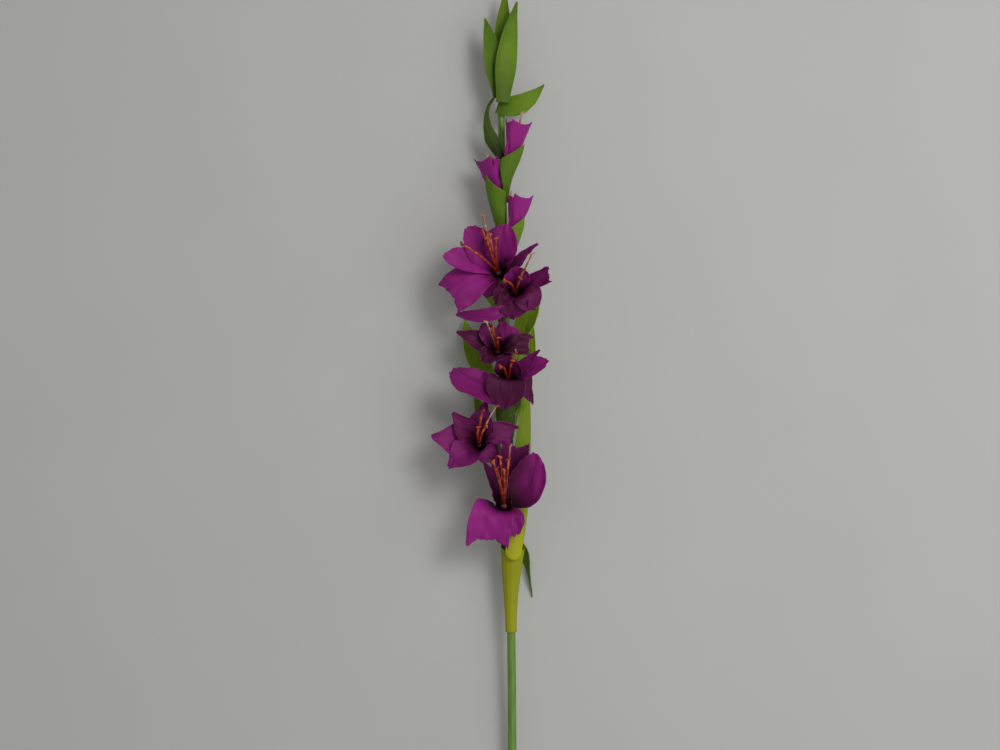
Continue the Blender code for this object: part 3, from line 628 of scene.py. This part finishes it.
BUDS = {
    "1": {
        "foot": (-1.5, 376.0, 28.5),
        "faces": (0.28, 1.0, 0.25),
        "petals": [
            ((-3.0, 30.0, 11.0), 9.0, 0.0, 6.5, "fan", 35.0, 0.0, 0.3, 0),
            ((10.5, 28.5, 10.0), 9.0, 0.0, 11.0, "fan", 30.0, 0.0, 0.4, 1),
            ((4.5, 27.0, -1.0), 12.0, 0.0, 9.0, "fan", 20.0, 0.0, 0.4, 1),
        ],
        "stamens": [(9.0, 37.0, 6.0), (2.5, 30.0, 6.0)],
    },
    "2": {
        "foot": (-12.0, 348.0, 28.5),
        "faces": (-0.30, 1.0, 0.25),
        "petals": [
            ((-13.0, 27.0, 11.0), 9.0, 0.0, 10.0, "fan", 30.0, 0.0, 0.4, 1),
            ((0.5, 29.0, 10.0), 9.0, 0.0, 6.0, "fan", 35.0, 0.0, 0.3, 0),
            ((-6.0, 28.4, 0.0), 12.0, 0.0, 8.6, "fan", 20.0, 0.0, 0.4, 1),
        ],
        "stamens": [(-7.5, 31.0, 6.0), (-4.5, 30.0, 6.0)],
    },
    "3": {
        "foot": (0.5, 318.0, 28.5),
        "faces": (0.25, 1.0, 0.25),
        "petals": [
            ((-3.0, 28.0, 12.0), 9.0, 0.0, 6.5, "fan", 35.0, 0.0, 0.3, 0),
            ((9.5, 28.0, 11.0), 9.0, 0.0, 9.5, "fan", 30.0, 0.0, 0.4, 1),
            ((3.2, 28.4, -0.6), 12.0, 0.0, 8.0, "fan", 20.0, 0.0, 0.4, 1),
        ],
        "stamens": [(-1.0, 31.0, 6.0), (3.5, 29.0, 6.0)],
    },
}
print("petals:", sum(len(row["petals"]) for row in [*BLOOMS.values(), *BUDS.values()]))

# %% [markdown]
# ## Rod, pegs and the cut end
#
# The rod is one round skin with a few more rings at its foot: from deep in the hole out to the cut face,
# across it, and round its edge. Its radius is a table of ring by angle, so two narrow bumps round the ring
# make the mould's ridges. It lies a hair above the floor. A peg leaves the rod some way below its flower.

# %% Build the stem
ROD_LIFT = 0.1
ROD_SIDES = 32
BLOOM_PEG_DEPTH = 6.0
BUD_PEG_DEPTH = 5.0
PEG_DROP = 15.0
PEG_STRAIGHT = 8.0
PEG_RADII = (2.2, 2.9)
PEG_RINGS = 14


def parabola(start, bend, end, t):
    """Quadratic curve from start to end that leaves both towards bend: s (1-t)^2 + 2 b t (1-t) + e t^2."""
    return start * (1 - t) ** 2 + bend * 2 * t * (1 - t) + end * t * t


def peg_skin(top, faces, depth):
    """A peg from the rod to the foot of a cup: a quadratic curve, then straight into the cup."""
    end = top - faces * (depth + CLEARANCE)
    start = stem_at(end[1] - PEG_DROP)[0]
    bend = end - faces * min(PEG_STRAIGHT, np.linalg.norm(end - start) * 0.45)
    path = parabola(start, bend, end, np.linspace(0.0, 1.0, PEG_RINGS)[:, None])
    return skin(path, headings(path), np.linspace(*PEG_RADII, PEG_RINGS), 16)


rod_turn = np.arange(ROD_SIDES) * math.tau / ROD_SIDES
ridge = 1 + MOULD_RIDGE / STEM_ROUTE[0][1] * np.cos(rod_turn) ** 40
cut_rings = [(8.0, BORE_RADIUS), (0.0, BORE_RADIUS), (0.0, 3.1), (0.3, 3.42)]
foot_path = [stem_path[0] + stem_ahead[0] * depth for depth, radius in cut_rings]
rod_path = np.vstack([foot_path, stem_path[1:]]) + [0.0, 0.0, ROD_LIFT]
rod_ahead = np.vstack([[stem_ahead[0]] * len(cut_rings), stem_ahead[1:]])
rod_radii = np.concatenate([[radius for depth, radius in cut_rings], stem_radii[1:]])
rod = skin(rod_path, rod_ahead, rod_radii[:, None] * ridge, ROD_SIDES)
pegs = []
for row in [*BLOOMS.values(), *BUDS.values()]:
    faces = unit(np.array(row["faces"]))
    top = np.array(row.get("throat", row.get("foot")))
    pegs.append(peg_skin(top, faces, BLOOM_PEG_DEPTH if "throat" in row else BUD_PEG_DEPTH))
piece("stem_rod", "stem", [rod, *pegs], stem_green)
print("stem_rod:", made["stem_rod"], "triangles")

# %% [markdown]
# ## One blade for every petal and leaf
#
# A blade is a flat cut-out that a hot die bends. Its middle line is a parabola through root, middle and tip.
# Across it, the cloth follows an arc whose half angle is the curl there. The outline grows from the root to
# the peak and falls off to the end. On top of that come the things that the heat does: edges that ruffle,
# an end that is nicked where the knife cut it, a pressed midrib and a slow crumple.
#
# An outline is a row of shares: the width at the root, the place of the peak, the width at the end and the
# power of the fall, then how far the corners of the end stay behind its middle, how far the end slants, and
# how far the corners of the root are ahead.

# %% Outlines and the blade
FRILL_LENGTH = 9.0
OUTLINES = {
    "oval": (0.46, 0.60, 0.74, 2.8, 0.15, 0.0, 0.0),
    "point": (0.46, 0.50, 0.30, 1.7, 0.14, 0.0, 0.0),
    "broad": (0.50, 0.66, 0.52, 2.6, 0.08, 0.0, 0.0),
    "square": (0.50, 0.78, 0.86, 3.0, -0.08, 0.0, 0.0),
    "wide": (0.55, 0.40, 0.96, 3.0, -0.10, 0.0, 0.0),
    "fan": (0.55, 1.10, 0.95, 2.0, -0.04, 0.0, 0.0),
    "leaf": (0.80, 0.42, 0.10, 1.9, 0.04, 0.0, 0.0),
    "long": (0.60, 0.35, 0.10, 1.9, 0.04, 0.0, 0.0),
    "heeled": (0.85, 0.30, 0.45, 2.6, 0.04, 0.0, 0.045),
    "loop": (0.60, 0.28, 0.24, 0.55, 0.04, 0.0, 0.0),
    "lobe": (0.42, 0.72, 0.62, 3.6, 0.10, 0.0, 0.0),
    "collar": (0.45, 0.85, 0.95, 2.2, -0.03, -0.22, 0.0),
    "left_collar": (0.45, 0.85, 0.95, 2.2, -0.03, 0.18, 0.0),
    "tip": (0.50, 0.45, 0.14, 1.9, 0.05, 0.0, 0.0),
    "blunt": (0.62, 0.38, 0.14, 1.9, 0.05, 0.0, 0.0),
    "sheath": (0.41, 1.40, 0.90, 2.0, -0.12, 0.0, 0.0),
}


def width_along(u, outline):
    """Share of the greatest width: an eased rise from the root to the peak, then a fall by a power."""
    root, peak, end, full = OUTLINES[outline][:4]
    rise = root + (1 - root) * ease(u / peak)
    fall = end + (1 - end) * (1 - np.clip((u - peak) / (1 - peak), 0.0, 1.0) ** full)
    return np.where(u < peak, rise, fall)


def ripple(at, turns, chance):
    """A few sines of a place, each with its own chance phase, added and divided by their number."""
    return sum(np.sin(math.tau * turn * at + chance.uniform(0, math.tau)) for turn in turns) / len(turns)


def blade(route, looks, half_width, outline, curl, turn=0.0, wave=0.0, heat=(0.0, 0.0, 0.0, 0.0), seed=0,
          grid=(40, 48), thickness=PETAL_CLOTH):
    """A pressed cloth blade as a closed skin.

    s is the place along the middle line, a little behind u at the corners. Point = centre + side r sin(a v)
    + inner (r (1 - cos(a v)) + heat), where a is the half angle, r the half width over a, and v runs from -1
    to 1 across. heat holds four depths in millimetres: the ruffle of the edges, the nicks of the end, the
    crumple of the middle and the groove of the midrib.
    """
    root, middle, tip = (np.asarray(point, float) for point in route)
    bend = 2 * middle - (root + tip) / 2
    ruffle, nick, crumple, rib = heat
    chance = np.random.default_rng(seed)
    v, u = np.meshgrid(np.linspace(-1.0, 1.0, grid[0] + 1), np.linspace(0.0, 1.0, grid[1] + 1))
    span = np.linalg.norm(tip - root)
    corners, slant, heel = OUTLINES[outline][4:]
    s = u * (1 - corners * v * v * u + slant * v * u) + heel * v * v * (1 - u) ** 2
    s += nick * ripple(v, (1.1, 2.3, 3.7), chance) * u**8 / span
    t = s[..., None]
    centre = parabola(root, bend, tip, t)
    ahead = unit((bend - root) * (1 - t) + (tip - bend) * t)
    look = looks[0] + (np.asarray(looks[1]) - looks[0]) * ease(t)
    inner = unit(look - dot(look, ahead) * ahead)
    turned = np.radians(turn) * ease(1.6 * t)
    inner = inner * np.cos(turned) + np.cross(ahead, inner) * np.sin(turned)
    side = np.cross(ahead, inner)
    notch = 0.6 * nick / half_width * ripple(u, (2.1, 4.3), chance) * u
    width = half_width * width_along(u, outline) * (1 + notch)
    angle = np.radians(curl[0] + (curl[1] - curl[0]) * ease(s * curl[2]))
    angle = np.where(np.abs(angle) < 0.02, 0.02, angle)
    arc = width / angle
    lift = arc * (1 - np.cos(angle * v))
    lift += wave * s**1.5 * np.abs(v) ** 1.5 * np.sin(2.2 * math.tau * s + np.where(v > 0, 1.9, 0.0))
    border = np.maximum(np.abs(v) ** 4, u**7)
    frill = ripple(s * span / FRILL_LENGTH + 0.7 * np.sign(v), (0.9, 1.4), chance)
    lift += ruffle * border * ease(2 * u) * frill * np.abs(v)
    lift += ruffle * u**7 * ripple(v * half_width / FRILL_LENGTH, (0.8, 1.3), chance)
    folds = ripple(0.9 * v + 0.7 * s, (1.0, 1.7), chance)
    lift += crumple * ease(2 * s) * folds * ripple(s, (0.8, 1.6), chance)
    lift -= rib * np.exp(-((v / 0.10) ** 2)) * ease(3 * s) * (1 - u)
    points = centre + side * (arc * np.sin(angle * v))[..., None] + inner * lift[..., None]
    edge = np.minimum((1 - np.abs(v)) * width, (1 - u) * span)
    return sheet(points, u, v, edge, thickness)


print("outlines:", ", ".join(OUTLINES))

# %% [markdown]
# ## Petals
#
# Six petals stand in one cup in two rings, and a bud shows three. The cup is a short flared tube, painted
# dark all over as the shade deep in the throat: its three sizes are its height and its radii at foot and rim.
# The petals root a little way down in it. Each flower's dyes follow the order of its petals, with the cup's
# dye last. Their tints are partly each petal's own tone and partly painted light and shade: petals that face
# away from the light are tinted darker, and a third number, where there is one, paints one side lighter.

# %% Build the blooms and the buds
BLOOM_CUP = (5.4, 3.2, 6.8)
BLOOM_CUP_SINK = 0.6
BUD_CUP = (5.0, 2.6, 4.8)
CUP_LIP = 0.6
PETAL_HEAT = (0.7, 0.55, 0.9, 0.5)
BUD_HEAT = (0.3, 0.15, 0.5, 0.5)
BLOOM_SEED, BUD_SEED = 1, 91
# Tint, reach and sometimes slant: the tints are partly each petal's tone and partly painted shade.
DYES_AND_SHADE = {
    "a": [(0.74, 0.45), (0.74, 0.5, 0.4), (0.93, 0.35), (0.74, 0.4), (0.28, 0.7), (0.28, 0.7), (0.0, 1.2)],
    "b": [(0.47, 0.7), (0.33, 0.7), (0.09, 0.9), (0.74, 0.3), (0.14, 0.9), (0.09, 0.9), (0.0, 1.2)],
    "c": [(0.09, 0.9), (0.33, 0.9), (0.47, 0.7), (0.0, 1.2), (0.05, 1.2), (0.05, 1.2), (0.0, 1.2)],
    "d": [(0.65, 0.6), (0.0, 1.0), (0.0, 1.2), (0.37, 0.7), (0.79, 0.7), (0.05, 1.1), (0.0, 1.2)],
    "e": [(0.58, 0.65), (0.23, 0.8), (0.23, 0.9), (0.23, 0.9), (0.56, 0.6), (0.33, 0.8), (0.0, 1.2)],
    "f": [(0.58, 1.0, 0.85), (0.14, 1.25), (0.14, 1.1), (0.88, 0.45), (0.65, 0.5), (0.09, 1.1), (0.0, 1.2)],
}
# The buds' tints and their cup's dark colour are partly painted light and shade as well.
BUD_DYES_AND_SHADE = [(1.0, 0.3), (1.0, 0.3), (0.9, 0.3), (0.0, 0.6)]


def petal_skins(throat, faces, rows, rings, heat, seed):
    """The petals of one flower: root in the ring, middle above the throat, tip where the table says."""
    skins = []
    for number, (reach, rise, bow, half_width, outline, curl, turn, wave, ring) in enumerate(rows):
        reach = np.array(reach)
        out = reach - dot(reach, faces) * faces
        away = unit(out)
        root = throat + away * rings[ring] - faces * PETAL_SINK
        middle = throat + out * 0.45 + faces * rise + np.cross(faces, away) * bow
        route, looks = (root, middle, throat + reach), (-away, faces)
        bends = (45.0, curl, 1.0)
        skins.append(blade(route, looks, half_width, outline, bends, turn, wave, heat, seed + number))
    return skins


def cup_skin(top, faces, height, foot_radius, top_radius):
    """A hollow cup: its radius grows by a power from foot to rim, turns in and runs down inside."""
    t = np.linspace(0.0, 1.0, 12)
    outer = foot_radius + (top_radius - foot_radius) * t**0.8
    inner = (top_radius - CUP_LIP) - (top_radius - 2.4) * t[:8]
    radii = np.concatenate([outer, inner])
    depths = np.concatenate([height * (1 - t), 0.2 + 0.62 * height * t[:8] / t[7]])
    part = skin(top - faces * depths[:, None], [faces] * len(radii), radii, 28)
    # The whole cup takes the root's very dark colour: painted shade deep in the throat.
    part["along"] = part["along"] * 0.0
    return part


for order, (letter, row) in enumerate(BLOOMS.items()):
    throat, faces = np.array(row["throat"]), unit(np.array(row["faces"]))
    skins = petal_skins(throat, faces, row["petals"], BLOOM_RINGS, PETAL_HEAT, BLOOM_SEED + 10 * order)
    skins.append(cup_skin(throat - faces * BLOOM_CUP_SINK, faces, *BLOOM_CUP))
    piece(f"petals_{letter}", f"bloom_{letter}", skins, petal_satin, DYES_AND_SHADE[letter])
for order, (number, row) in enumerate(BUDS.items()):
    foot, faces = np.array(row["foot"]), unit(np.array(row["faces"]))
    skins = petal_skins(foot, faces, row["petals"], BUD_RINGS, BUD_HEAT, BUD_SEED + 10 * order)
    skins.append(cup_skin(foot, faces, *BUD_CUP))
    piece(f"bud_petals_{number}", f"bud_{number}", skins, petal_satin, BUD_DYES_AND_SHADE)
print("petals:", {name: count for name, count in made.items() if "petals" in name})

# %% [markdown]
# ## Stamens
#
# Each flower has a bunch of plastic stamens on one disc. A stamen is a thread that rises from the throat and
# bends over to its tip, where the anther sits across it. The longest thread of a bunch is the style. It is
# thinner and paler, and it ends in three short lobes. The tables give each thread's tip from the throat, and
# how far the threads stand apart on the disc, with the share of their lean that they take before the bend.

# %% Build the stamens
STAMENS = {
    "a": [
        (-12.3, 32.0, 26.0), (-6.6, 29.0, 27.0), (-1.5, 25.3, 26.0), (-28.5, 21.0, 28.0), (-11.6, 42.6, 24.0),
        (-9.2, 25.8, 27.0),
    ],
    "b": [(7.1, 17.5, 27.0), (4.5, 11.0, 29.0), (-7.5, 8.7, 27.0), (13.3, 28.8, 27.0)],
    "c": [(-4.0, 18.5, 21.0), (-8.6, 22.4, 20.0), (0.6, 10.6, 23.0)],
    "d": [(4.5, 16.3, 25.0), (6.7, 22.8, 26.0), (-5.5, 12.0, 24.0)],
    "e": [(2.4, 27.5, 20.0), (5.3, 16.0, 22.0), (-0.8, 15.0, 22.0), (12.6, 30.3, 23.0)],
    "f": [
        (-8.2, 36.5, 28.0), (-3.0, 40.0, 28.0), (3.6, 38.4, 28.0), (4.9, 47.6, 28.0), (0.2, 30.0, 28.0),
        (-5.6, 31.0, 28.0),
    ],
}
THREAD_RADIUS = 0.95
ANTHER_RADIUS = 0.95
ANTHER_LENGTH = 4.6
THREAD_RINGS = 24
STAMEN_SPREAD = {"stamens_a": (1.3, 0.15), "stamens_f": (1.7, 0.18)}
STAMEN_USUAL_SPREAD = (0.9, 0.10)


def spindle(start, end, radius):
    """A rod between two places, swollen in the middle: its radius follows the root of a sine."""
    t = np.linspace(0.0, 1.0, 11)[:, None]
    path = start + (end - start) * t
    radii = radius * (0.25 + 0.75 * np.sqrt(np.sin(math.pi * t[:, 0])))
    part = skin(path, headings(path), radii, 10)
    part["along"] = np.full_like(part["along"], 1.0)
    return part


def stamen_skins(throat, faces, tips, spread, share):
    """The disc, the orange threads with their anthers, and the pale skins of the style, in that order."""
    foot = throat + faces * CLEARANCE
    heights, radii = (-3.8, 1.0, 1.4), (1.6, spread + 1.0, 1.5)
    disc = skin([foot + faces * height for height in heights], [faces] * len(heights), radii, 16)
    orange, pale = [], []
    style = max(range(len(tips)), key=lambda number: np.linalg.norm(tips[number]))
    for number, tip in enumerate(tips):
        tip = np.array(tip, float)
        rise = dot(tip, faces)
        lean = tip - rise * faces
        start = foot + faces * 0.56 + unit(lean) * spread
        bend = start + faces * rise * 0.75 + lean * share
        end = throat + tip
        t = np.linspace(0.0, 1.0, THREAD_RINGS)
        path = parabola(start, bend, end, t[:, None])
        heads = headings(path)
        across = unit(np.cross(heads[-1], [0.0, 0.0, 1.0]))
        across = unit(across + heads[-1] * (0.9, -0.7, 0.5)[number % 3]) * ANTHER_LENGTH / 2
        if number == style:
            pale.append(skin(path, heads, THREAD_RADIUS * (1 - 0.35 * t), 10))
            for lobe in (-0.75, 0.0, 0.75):
                pale.append(spindle(end - heads[-1] * 0.4, end + heads[-1] * 2.0 + across * lobe, 0.6))
        else:
            orange.append(skin(path, heads, THREAD_RADIUS * (1.1 - 0.25 * t), 10))
            orange.append(spindle(end - across, end + across, ANTHER_RADIUS))
    return disc, orange, pale


bunches = {}
for letter, row in BLOOMS.items():
    bunches[f"stamens_{letter}"] = (row["throat"], row["faces"], STAMENS[letter])
for number, row in BUDS.items():
    bunches[f"bud_stamens_{number}"] = (row["foot"], row["faces"], row["stamens"])
for node, (throat, faces, tips) in bunches.items():
    spread, share = STAMEN_SPREAD.get(node, STAMEN_USUAL_SPREAD)
    disc, orange, pale = stamen_skins(np.array(throat), unit(np.array(faces)), tips, spread, share)
    piece(node.replace("stamens", "disc"), node, [disc], stamen_painted_shade)
    piece(node.replace("stamens", "threads"), node, orange, stamen_orange)
    piece(node.replace("stamens", "style"), node, pale, stamen_pale)
print("stamens:", {name: count for name, count in made.items() if "threads" in name})

# %% [markdown]
# ## Green leaves
#
# The leaves are the same blade with other sizes. Most wrap the stem with their root and open out above it,
# as a bract does. The others lie over the stem or beside it, and the yellow-green sleeve wraps it all
# round. Leaves hold a crisp press, so they get ridges but hardly any ruffle.
#
# A row of the first table starts with the root: its height on the stem, its angle round it and its distance
# from the centre line. Then come the middle, the tip, the way that the inner face looks at the tip, the half
# width, the outline and the curl at the tip. A row of the second gives the root, the middle and the tip, the
# ways that the inner face looks at both ends, the half width, the outline and the curl at both ends.

# %% The leaves' sizes
LEAVES = {
    "bract_a": (
        (244.0, 205.0, 4.3), (-20.0, 275.0, 15.0), (-34.0, 302.0, 12.0), (0.5, 0.0, 1.0), 9.0, "leaf", 20.0
    ),
    "bract_b": (
        (212.0, -20.0, 4.6), (12.5, 250.0, 16.5), (17.5, 286.0, 12.0), (-0.4, 0.0, 1.0), 12.0, "leaf", 20.0
    ),
    "bract_c": (
        (174.0, 205.0, 4.3), (-26.5, 213.0, 14.0), (-38.0, 251.0, 7.0), (0.5, 0.0, 1.0), 13.0, "long", 20.0
    ),
    "bract_d": (
        (156.0, -20.0, 4.4), (10.0, 203.0, 9.0), (17.0, 250.0, 0.5), (-0.5, 0.0, 1.0), 12.0, "long", 20.0
    ),
    "bract_e": (
        (112.0, 215.0, 4.4), (-18.0, 150.0, 12.0), (-31.0, 195.0, 0.4), (0.5, 0.0, 1.0), 9.5, "leaf", 20.0
    ),
    "spathe_1": (
        (344.0, 30.0, 4.4), (-1.6, 365.0, 33.6), (1.6, 383.0, 38.8), (-0.3, 0.2, -1.0), 9.0, "collar", 45.0
    ),
    "spathe_2": (
        (316.0, 118.0, 4.4), (-12.4, 338.0, 33.6), (-14.0, 356.4, 40.0),
        (0.3, 0.2, -1.0), 9.0, "left_collar", 45.0
    ),
    "spathe_3": (
        (284.0, 40.0, 4.4), (0.6, 307.5, 33.6), (2.6, 325.0, 38.8), (-0.3, 0.2, -1.0), 9.0, "collar", 45.0
    ),
    "tip_leaf_middle": (
        (427.0, 290.0, 3.8), (-7.5, 472.0, 15.5), (-5.0, 516.0, 20.0), (0.0, 0.0, 1.0), 7.5, "tip", 30.0
    ),
}
LAID_LEAVES = {
    "bract_f": (
        ((0.4, 59.0, 34.2), (7.0, 118.0, 29.0), (11.8, 198.0, 25.0)),
        ((-0.1, 0.0, -1.0), (-0.5, 0.0, -1.0)), 8.2, "heeled", (38.0, 25.0)
    ),
    "bract_g": (
        ((-3.0, 150.0, 26.2), (-4.6, 165.0, 29.6), (-5.2, 181.0, 31.5)),
        ((0.0, 0.0, -1.0), (0.0, 0.0, -1.0)), 8.0, "square", (22.0, 18.0)
    ),
    "bowed_leaf": (
        ((-8.7, 379.5, 26.8), (-20.6, 408.0, 26.0), (-14.4, 427.6, 24.6)),
        ((0.1, 0.0, -1.0), (1.0, 0.0, -0.6)), 5.8, "loop", (30.0, 40.0)
    ),
    "tip_leaf_left": (
        ((-10.4, 427.4, 24.9), (-15.0, 459.0, 25.0), (-21.6, 491.0, 25.0)),
        ((0.2, 0.0, 1.0), (0.2, 0.0, 1.0)), 8.2, "blunt", (20.0, 20.0)
    ),
    "tip_leaf_right": (
        ((-7.2, 422.5, 32.0), (-3.0, 464.0, 30.0), (4.0, 504.0, 27.0)),
        ((-0.2, 0.0, -1.0), (-0.5, 0.0, -1.0)), 9.0, "blunt", (22.0, 35.0)
    ),
    "bent_leaf": (
        ((-11.5, 421.3, 24.6), (7.0, 422.3, 28.0), (25.6, 437.6, 28.0)),
        ((0.0, 0.0, 1.0), (0.0, -0.3, 1.0)), 8.2, "leaf", (15.0, 20.0)
    ),
    "back_leaf": (
        ((5.4, 72.0, 13.0), (12.0, 56.0, 6.75), (16.5, 26.0, 1.2)),
        ((-0.5, 0.0, 0.87), (-1.0, 0.0, 0.1)), 6.0, "tip", (20.0, 15.0)
    ),
    "sleeve": (
        ((-0.6, 0.0, 23.1), (-0.8, 34.0, 26.2), (0.4, 65.0, 31.2)),
        ((0.0, 0.0, -1.0), (0.0, 0.0, -1.0)), 31.0, "sheath", (170.0, 166.0)
    ),
}
LEAF_HEAT = (0.15, 0.3, 0.25, 0.35)
SLEEVE_HEAT = (0.0, 0.5, 0.0, 0.0)
LEAF_GRID = (40, 64)
SLEEVE_GRID = (96, 48)
LEAF_SEED, LAID_SEED = 200, 300
print("leaves:", len(LEAVES) + len(LAID_LEAVES))

# %% [markdown]
# ## Leaves on the stem
#
# A bract's root lies on the rod, so its curl there is the angle that wraps the rod: half its width over the
# distance from the rod's centre line. From there the curl opens quickly. The lowest bract on the right runs
# from the sleeve's yellow to green, so it gets a finish of its own. Two leaves that the flowers shade get the
# darker copy of the green, as painted shade. The leaves' tints are partly their own tone and partly painted
# light and shade: some leaves are tinted dark as if in shade, and the bracts under the blooms are tinted
# bright as if lit. A leaf that isn't named among the dyes or finishes has the usual one.

# %% Build the leaves
# Tints and reaches: partly each leaf's own tone, partly painted light and shade.
LEAF_DYES_AND_SHADE = {
    "bract_a": (0.9, 0.4),
    "bract_b": (1.0, 0.1),
    "bract_c": (1.0, 0.05),
    "bract_d": (1.0, 0.05),
    "bract_e": (0.6, 0.4),
    "bract_f": (0.0, 0.6),
    "bract_g": (0.0, 0.9),
    "spathe_1": (0.12, 0.65),
    "spathe_2": (0.1, 0.65),
    "bent_leaf": (0.35, 0.5),
    "tip_leaf_left": (0.1, 0.7),
    "tip_leaf_middle": (0.3, 0.6),
    "back_leaf": (0.1, 0.8),
    "sleeve": (0.5, 0.8),
}
USUAL_LEAF_DYE_AND_SHADE = (0.25, 0.6)
# Two leaves take the darker copy of the green, which is painted shade.
LEAF_FINISHES = {"sleeve": sleeve_yellow, "bract_f": leaf_lime, "bract_g": leaf_painted_shade, "bowed_leaf": leaf_painted_shade}


def leaf_piece(name, route, looks, half_width, outline, curl, seed):
    """One leaf as a piece. The sleeve alone has a finer grid, its own slot and only its end nicked."""
    sleeve = name == "sleeve"
    heat, grid = (SLEEVE_HEAT, SLEEVE_GRID) if sleeve else (LEAF_HEAT, LEAF_GRID)
    looks = [np.array(look) for look in looks]
    part = blade(
        route, looks, half_width, outline, curl, heat=heat, seed=seed, grid=grid, thickness=LEAF_CLOTH
    )
    dyes_and_shade = [LEAF_DYES_AND_SHADE.get(name, USUAL_LEAF_DYE_AND_SHADE)]
    piece(f"cloth_{name}", name, [part], LEAF_FINISHES.get(name, leaf_green), dyes_and_shade)


for order, (name, row) in enumerate(LEAVES.items()):
    (height, angle, wrap), middle, tip, look, half_width, outline, curl = row
    centre, ahead = stem_at(height)
    out = np.array([math.cos(math.radians(angle)), 0.0, math.sin(math.radians(angle))])
    out = unit(out - dot(out, ahead) * ahead)
    hug = math.degrees(half_width * OUTLINES[outline][0] / wrap)
    route = (centre + out * wrap, middle, tip)
    leaf_piece(name, route, (-out, look), half_width, outline, (hug, curl, 2.2), LEAF_SEED + order)
for order, (name, row) in enumerate(LAID_LEAVES.items()):
    route, looks, half_width, outline, curls = row
    leaf_piece(name, route, looks, half_width, outline, (*curls, 1.0), LAID_SEED + order)
print("leaves:", {name: count for name, count in made.items() if "cloth_" in name})

# %% [markdown]
# ## Floor, light and camera
#
# The floor is plain and pale. Two soft lights hang to the right and throw the shadows to the left: a small
# one toward the tip, which gives the petals their form, and a wide one that fills. The sky around lights
# the rest evenly. The camera hangs 1.6 metres above the stem and looks straight down, so one pixel of a
# picture 1000 wide is 0.8 mm at the stem's depth.

# %% Set the floor, the lights and the camera
FLOOR_REACH = 4.0
CAMERA_PLACE = (0.00673, 0.115, 1.622)


def flat_light(name, place_at, aim_at, width, power, colour):
    """A square area light at a place, turned to face another."""
    lamp = bpy.data.lights.new(name, "AREA")
    lamp.shape = "SQUARE"
    lamp.size = width
    lamp.energy = power
    lamp.color = colour
    thing = shown(name, lamp)
    thing.location = place_at
    thing.rotation_euler = (Vector(aim_at) - Vector(place_at)).to_track_quat("-Z", "Y").to_euler()


paper, tree, shader = new_finish("pale_paper")
fibres = speckle(tree, 8.0, 4.0)
tree.links.new(
    blended(tree, fibres, (0.60, 0.60, 0.585, 1.0), (0.64, 0.64, 0.625, 1.0)), shader.inputs["Base Color"]
)
shader.inputs["Roughness"].default_value = 0.9
floor_mesh = bpy.data.meshes.new("floor")
corners = [(x * FLOOR_REACH, y * FLOOR_REACH, 0.0) for x, y in ((-1, -1), (1, -1), (1, 1), (-1, 1))]
floor_mesh.from_pydata(corners, [], [(0, 1, 2, 3)])
floor_mesh.materials.append(paper)
shown("floor", floor_mesh)

flat_light("key", (0.75, 0.75, 1.55), (0.0, 0.15, 0.02), 0.6, 9.0, (1.0, 0.985, 0.96))
flat_light("fill", (0.9, -0.2, 1.5), (0.0, 0.1, 0.02), 1.8, 8.0, (0.95, 0.97, 1.0))
world = bpy.data.worlds.new("studio")
world.use_nodes = True
world.node_tree.nodes["Background"].inputs["Color"].default_value = (0.62, 0.62, 0.61, 1.0)
world.node_tree.nodes["Background"].inputs["Strength"].default_value = 0.43
bpy.context.scene.world = world

bpy.context.scene.view_settings.view_transform = "Standard"
lens = bpy.data.cameras.new("overhead")
lens.sensor_width = 36.0
lens.lens = 72.0
lens.clip_end = 20.0
camera = shown("overhead", lens)
camera.location = CAMERA_PLACE
bpy.context.scene.camera = camera
print("camera height, metres:", camera.location.z)

# %% [markdown]
# ## Count the pieces
#
# The last line prints how many pieces there are and how many triangles they hold.

# %% Count the pieces
print("pieces:", len(made), "triangles:", sum(made.values()))
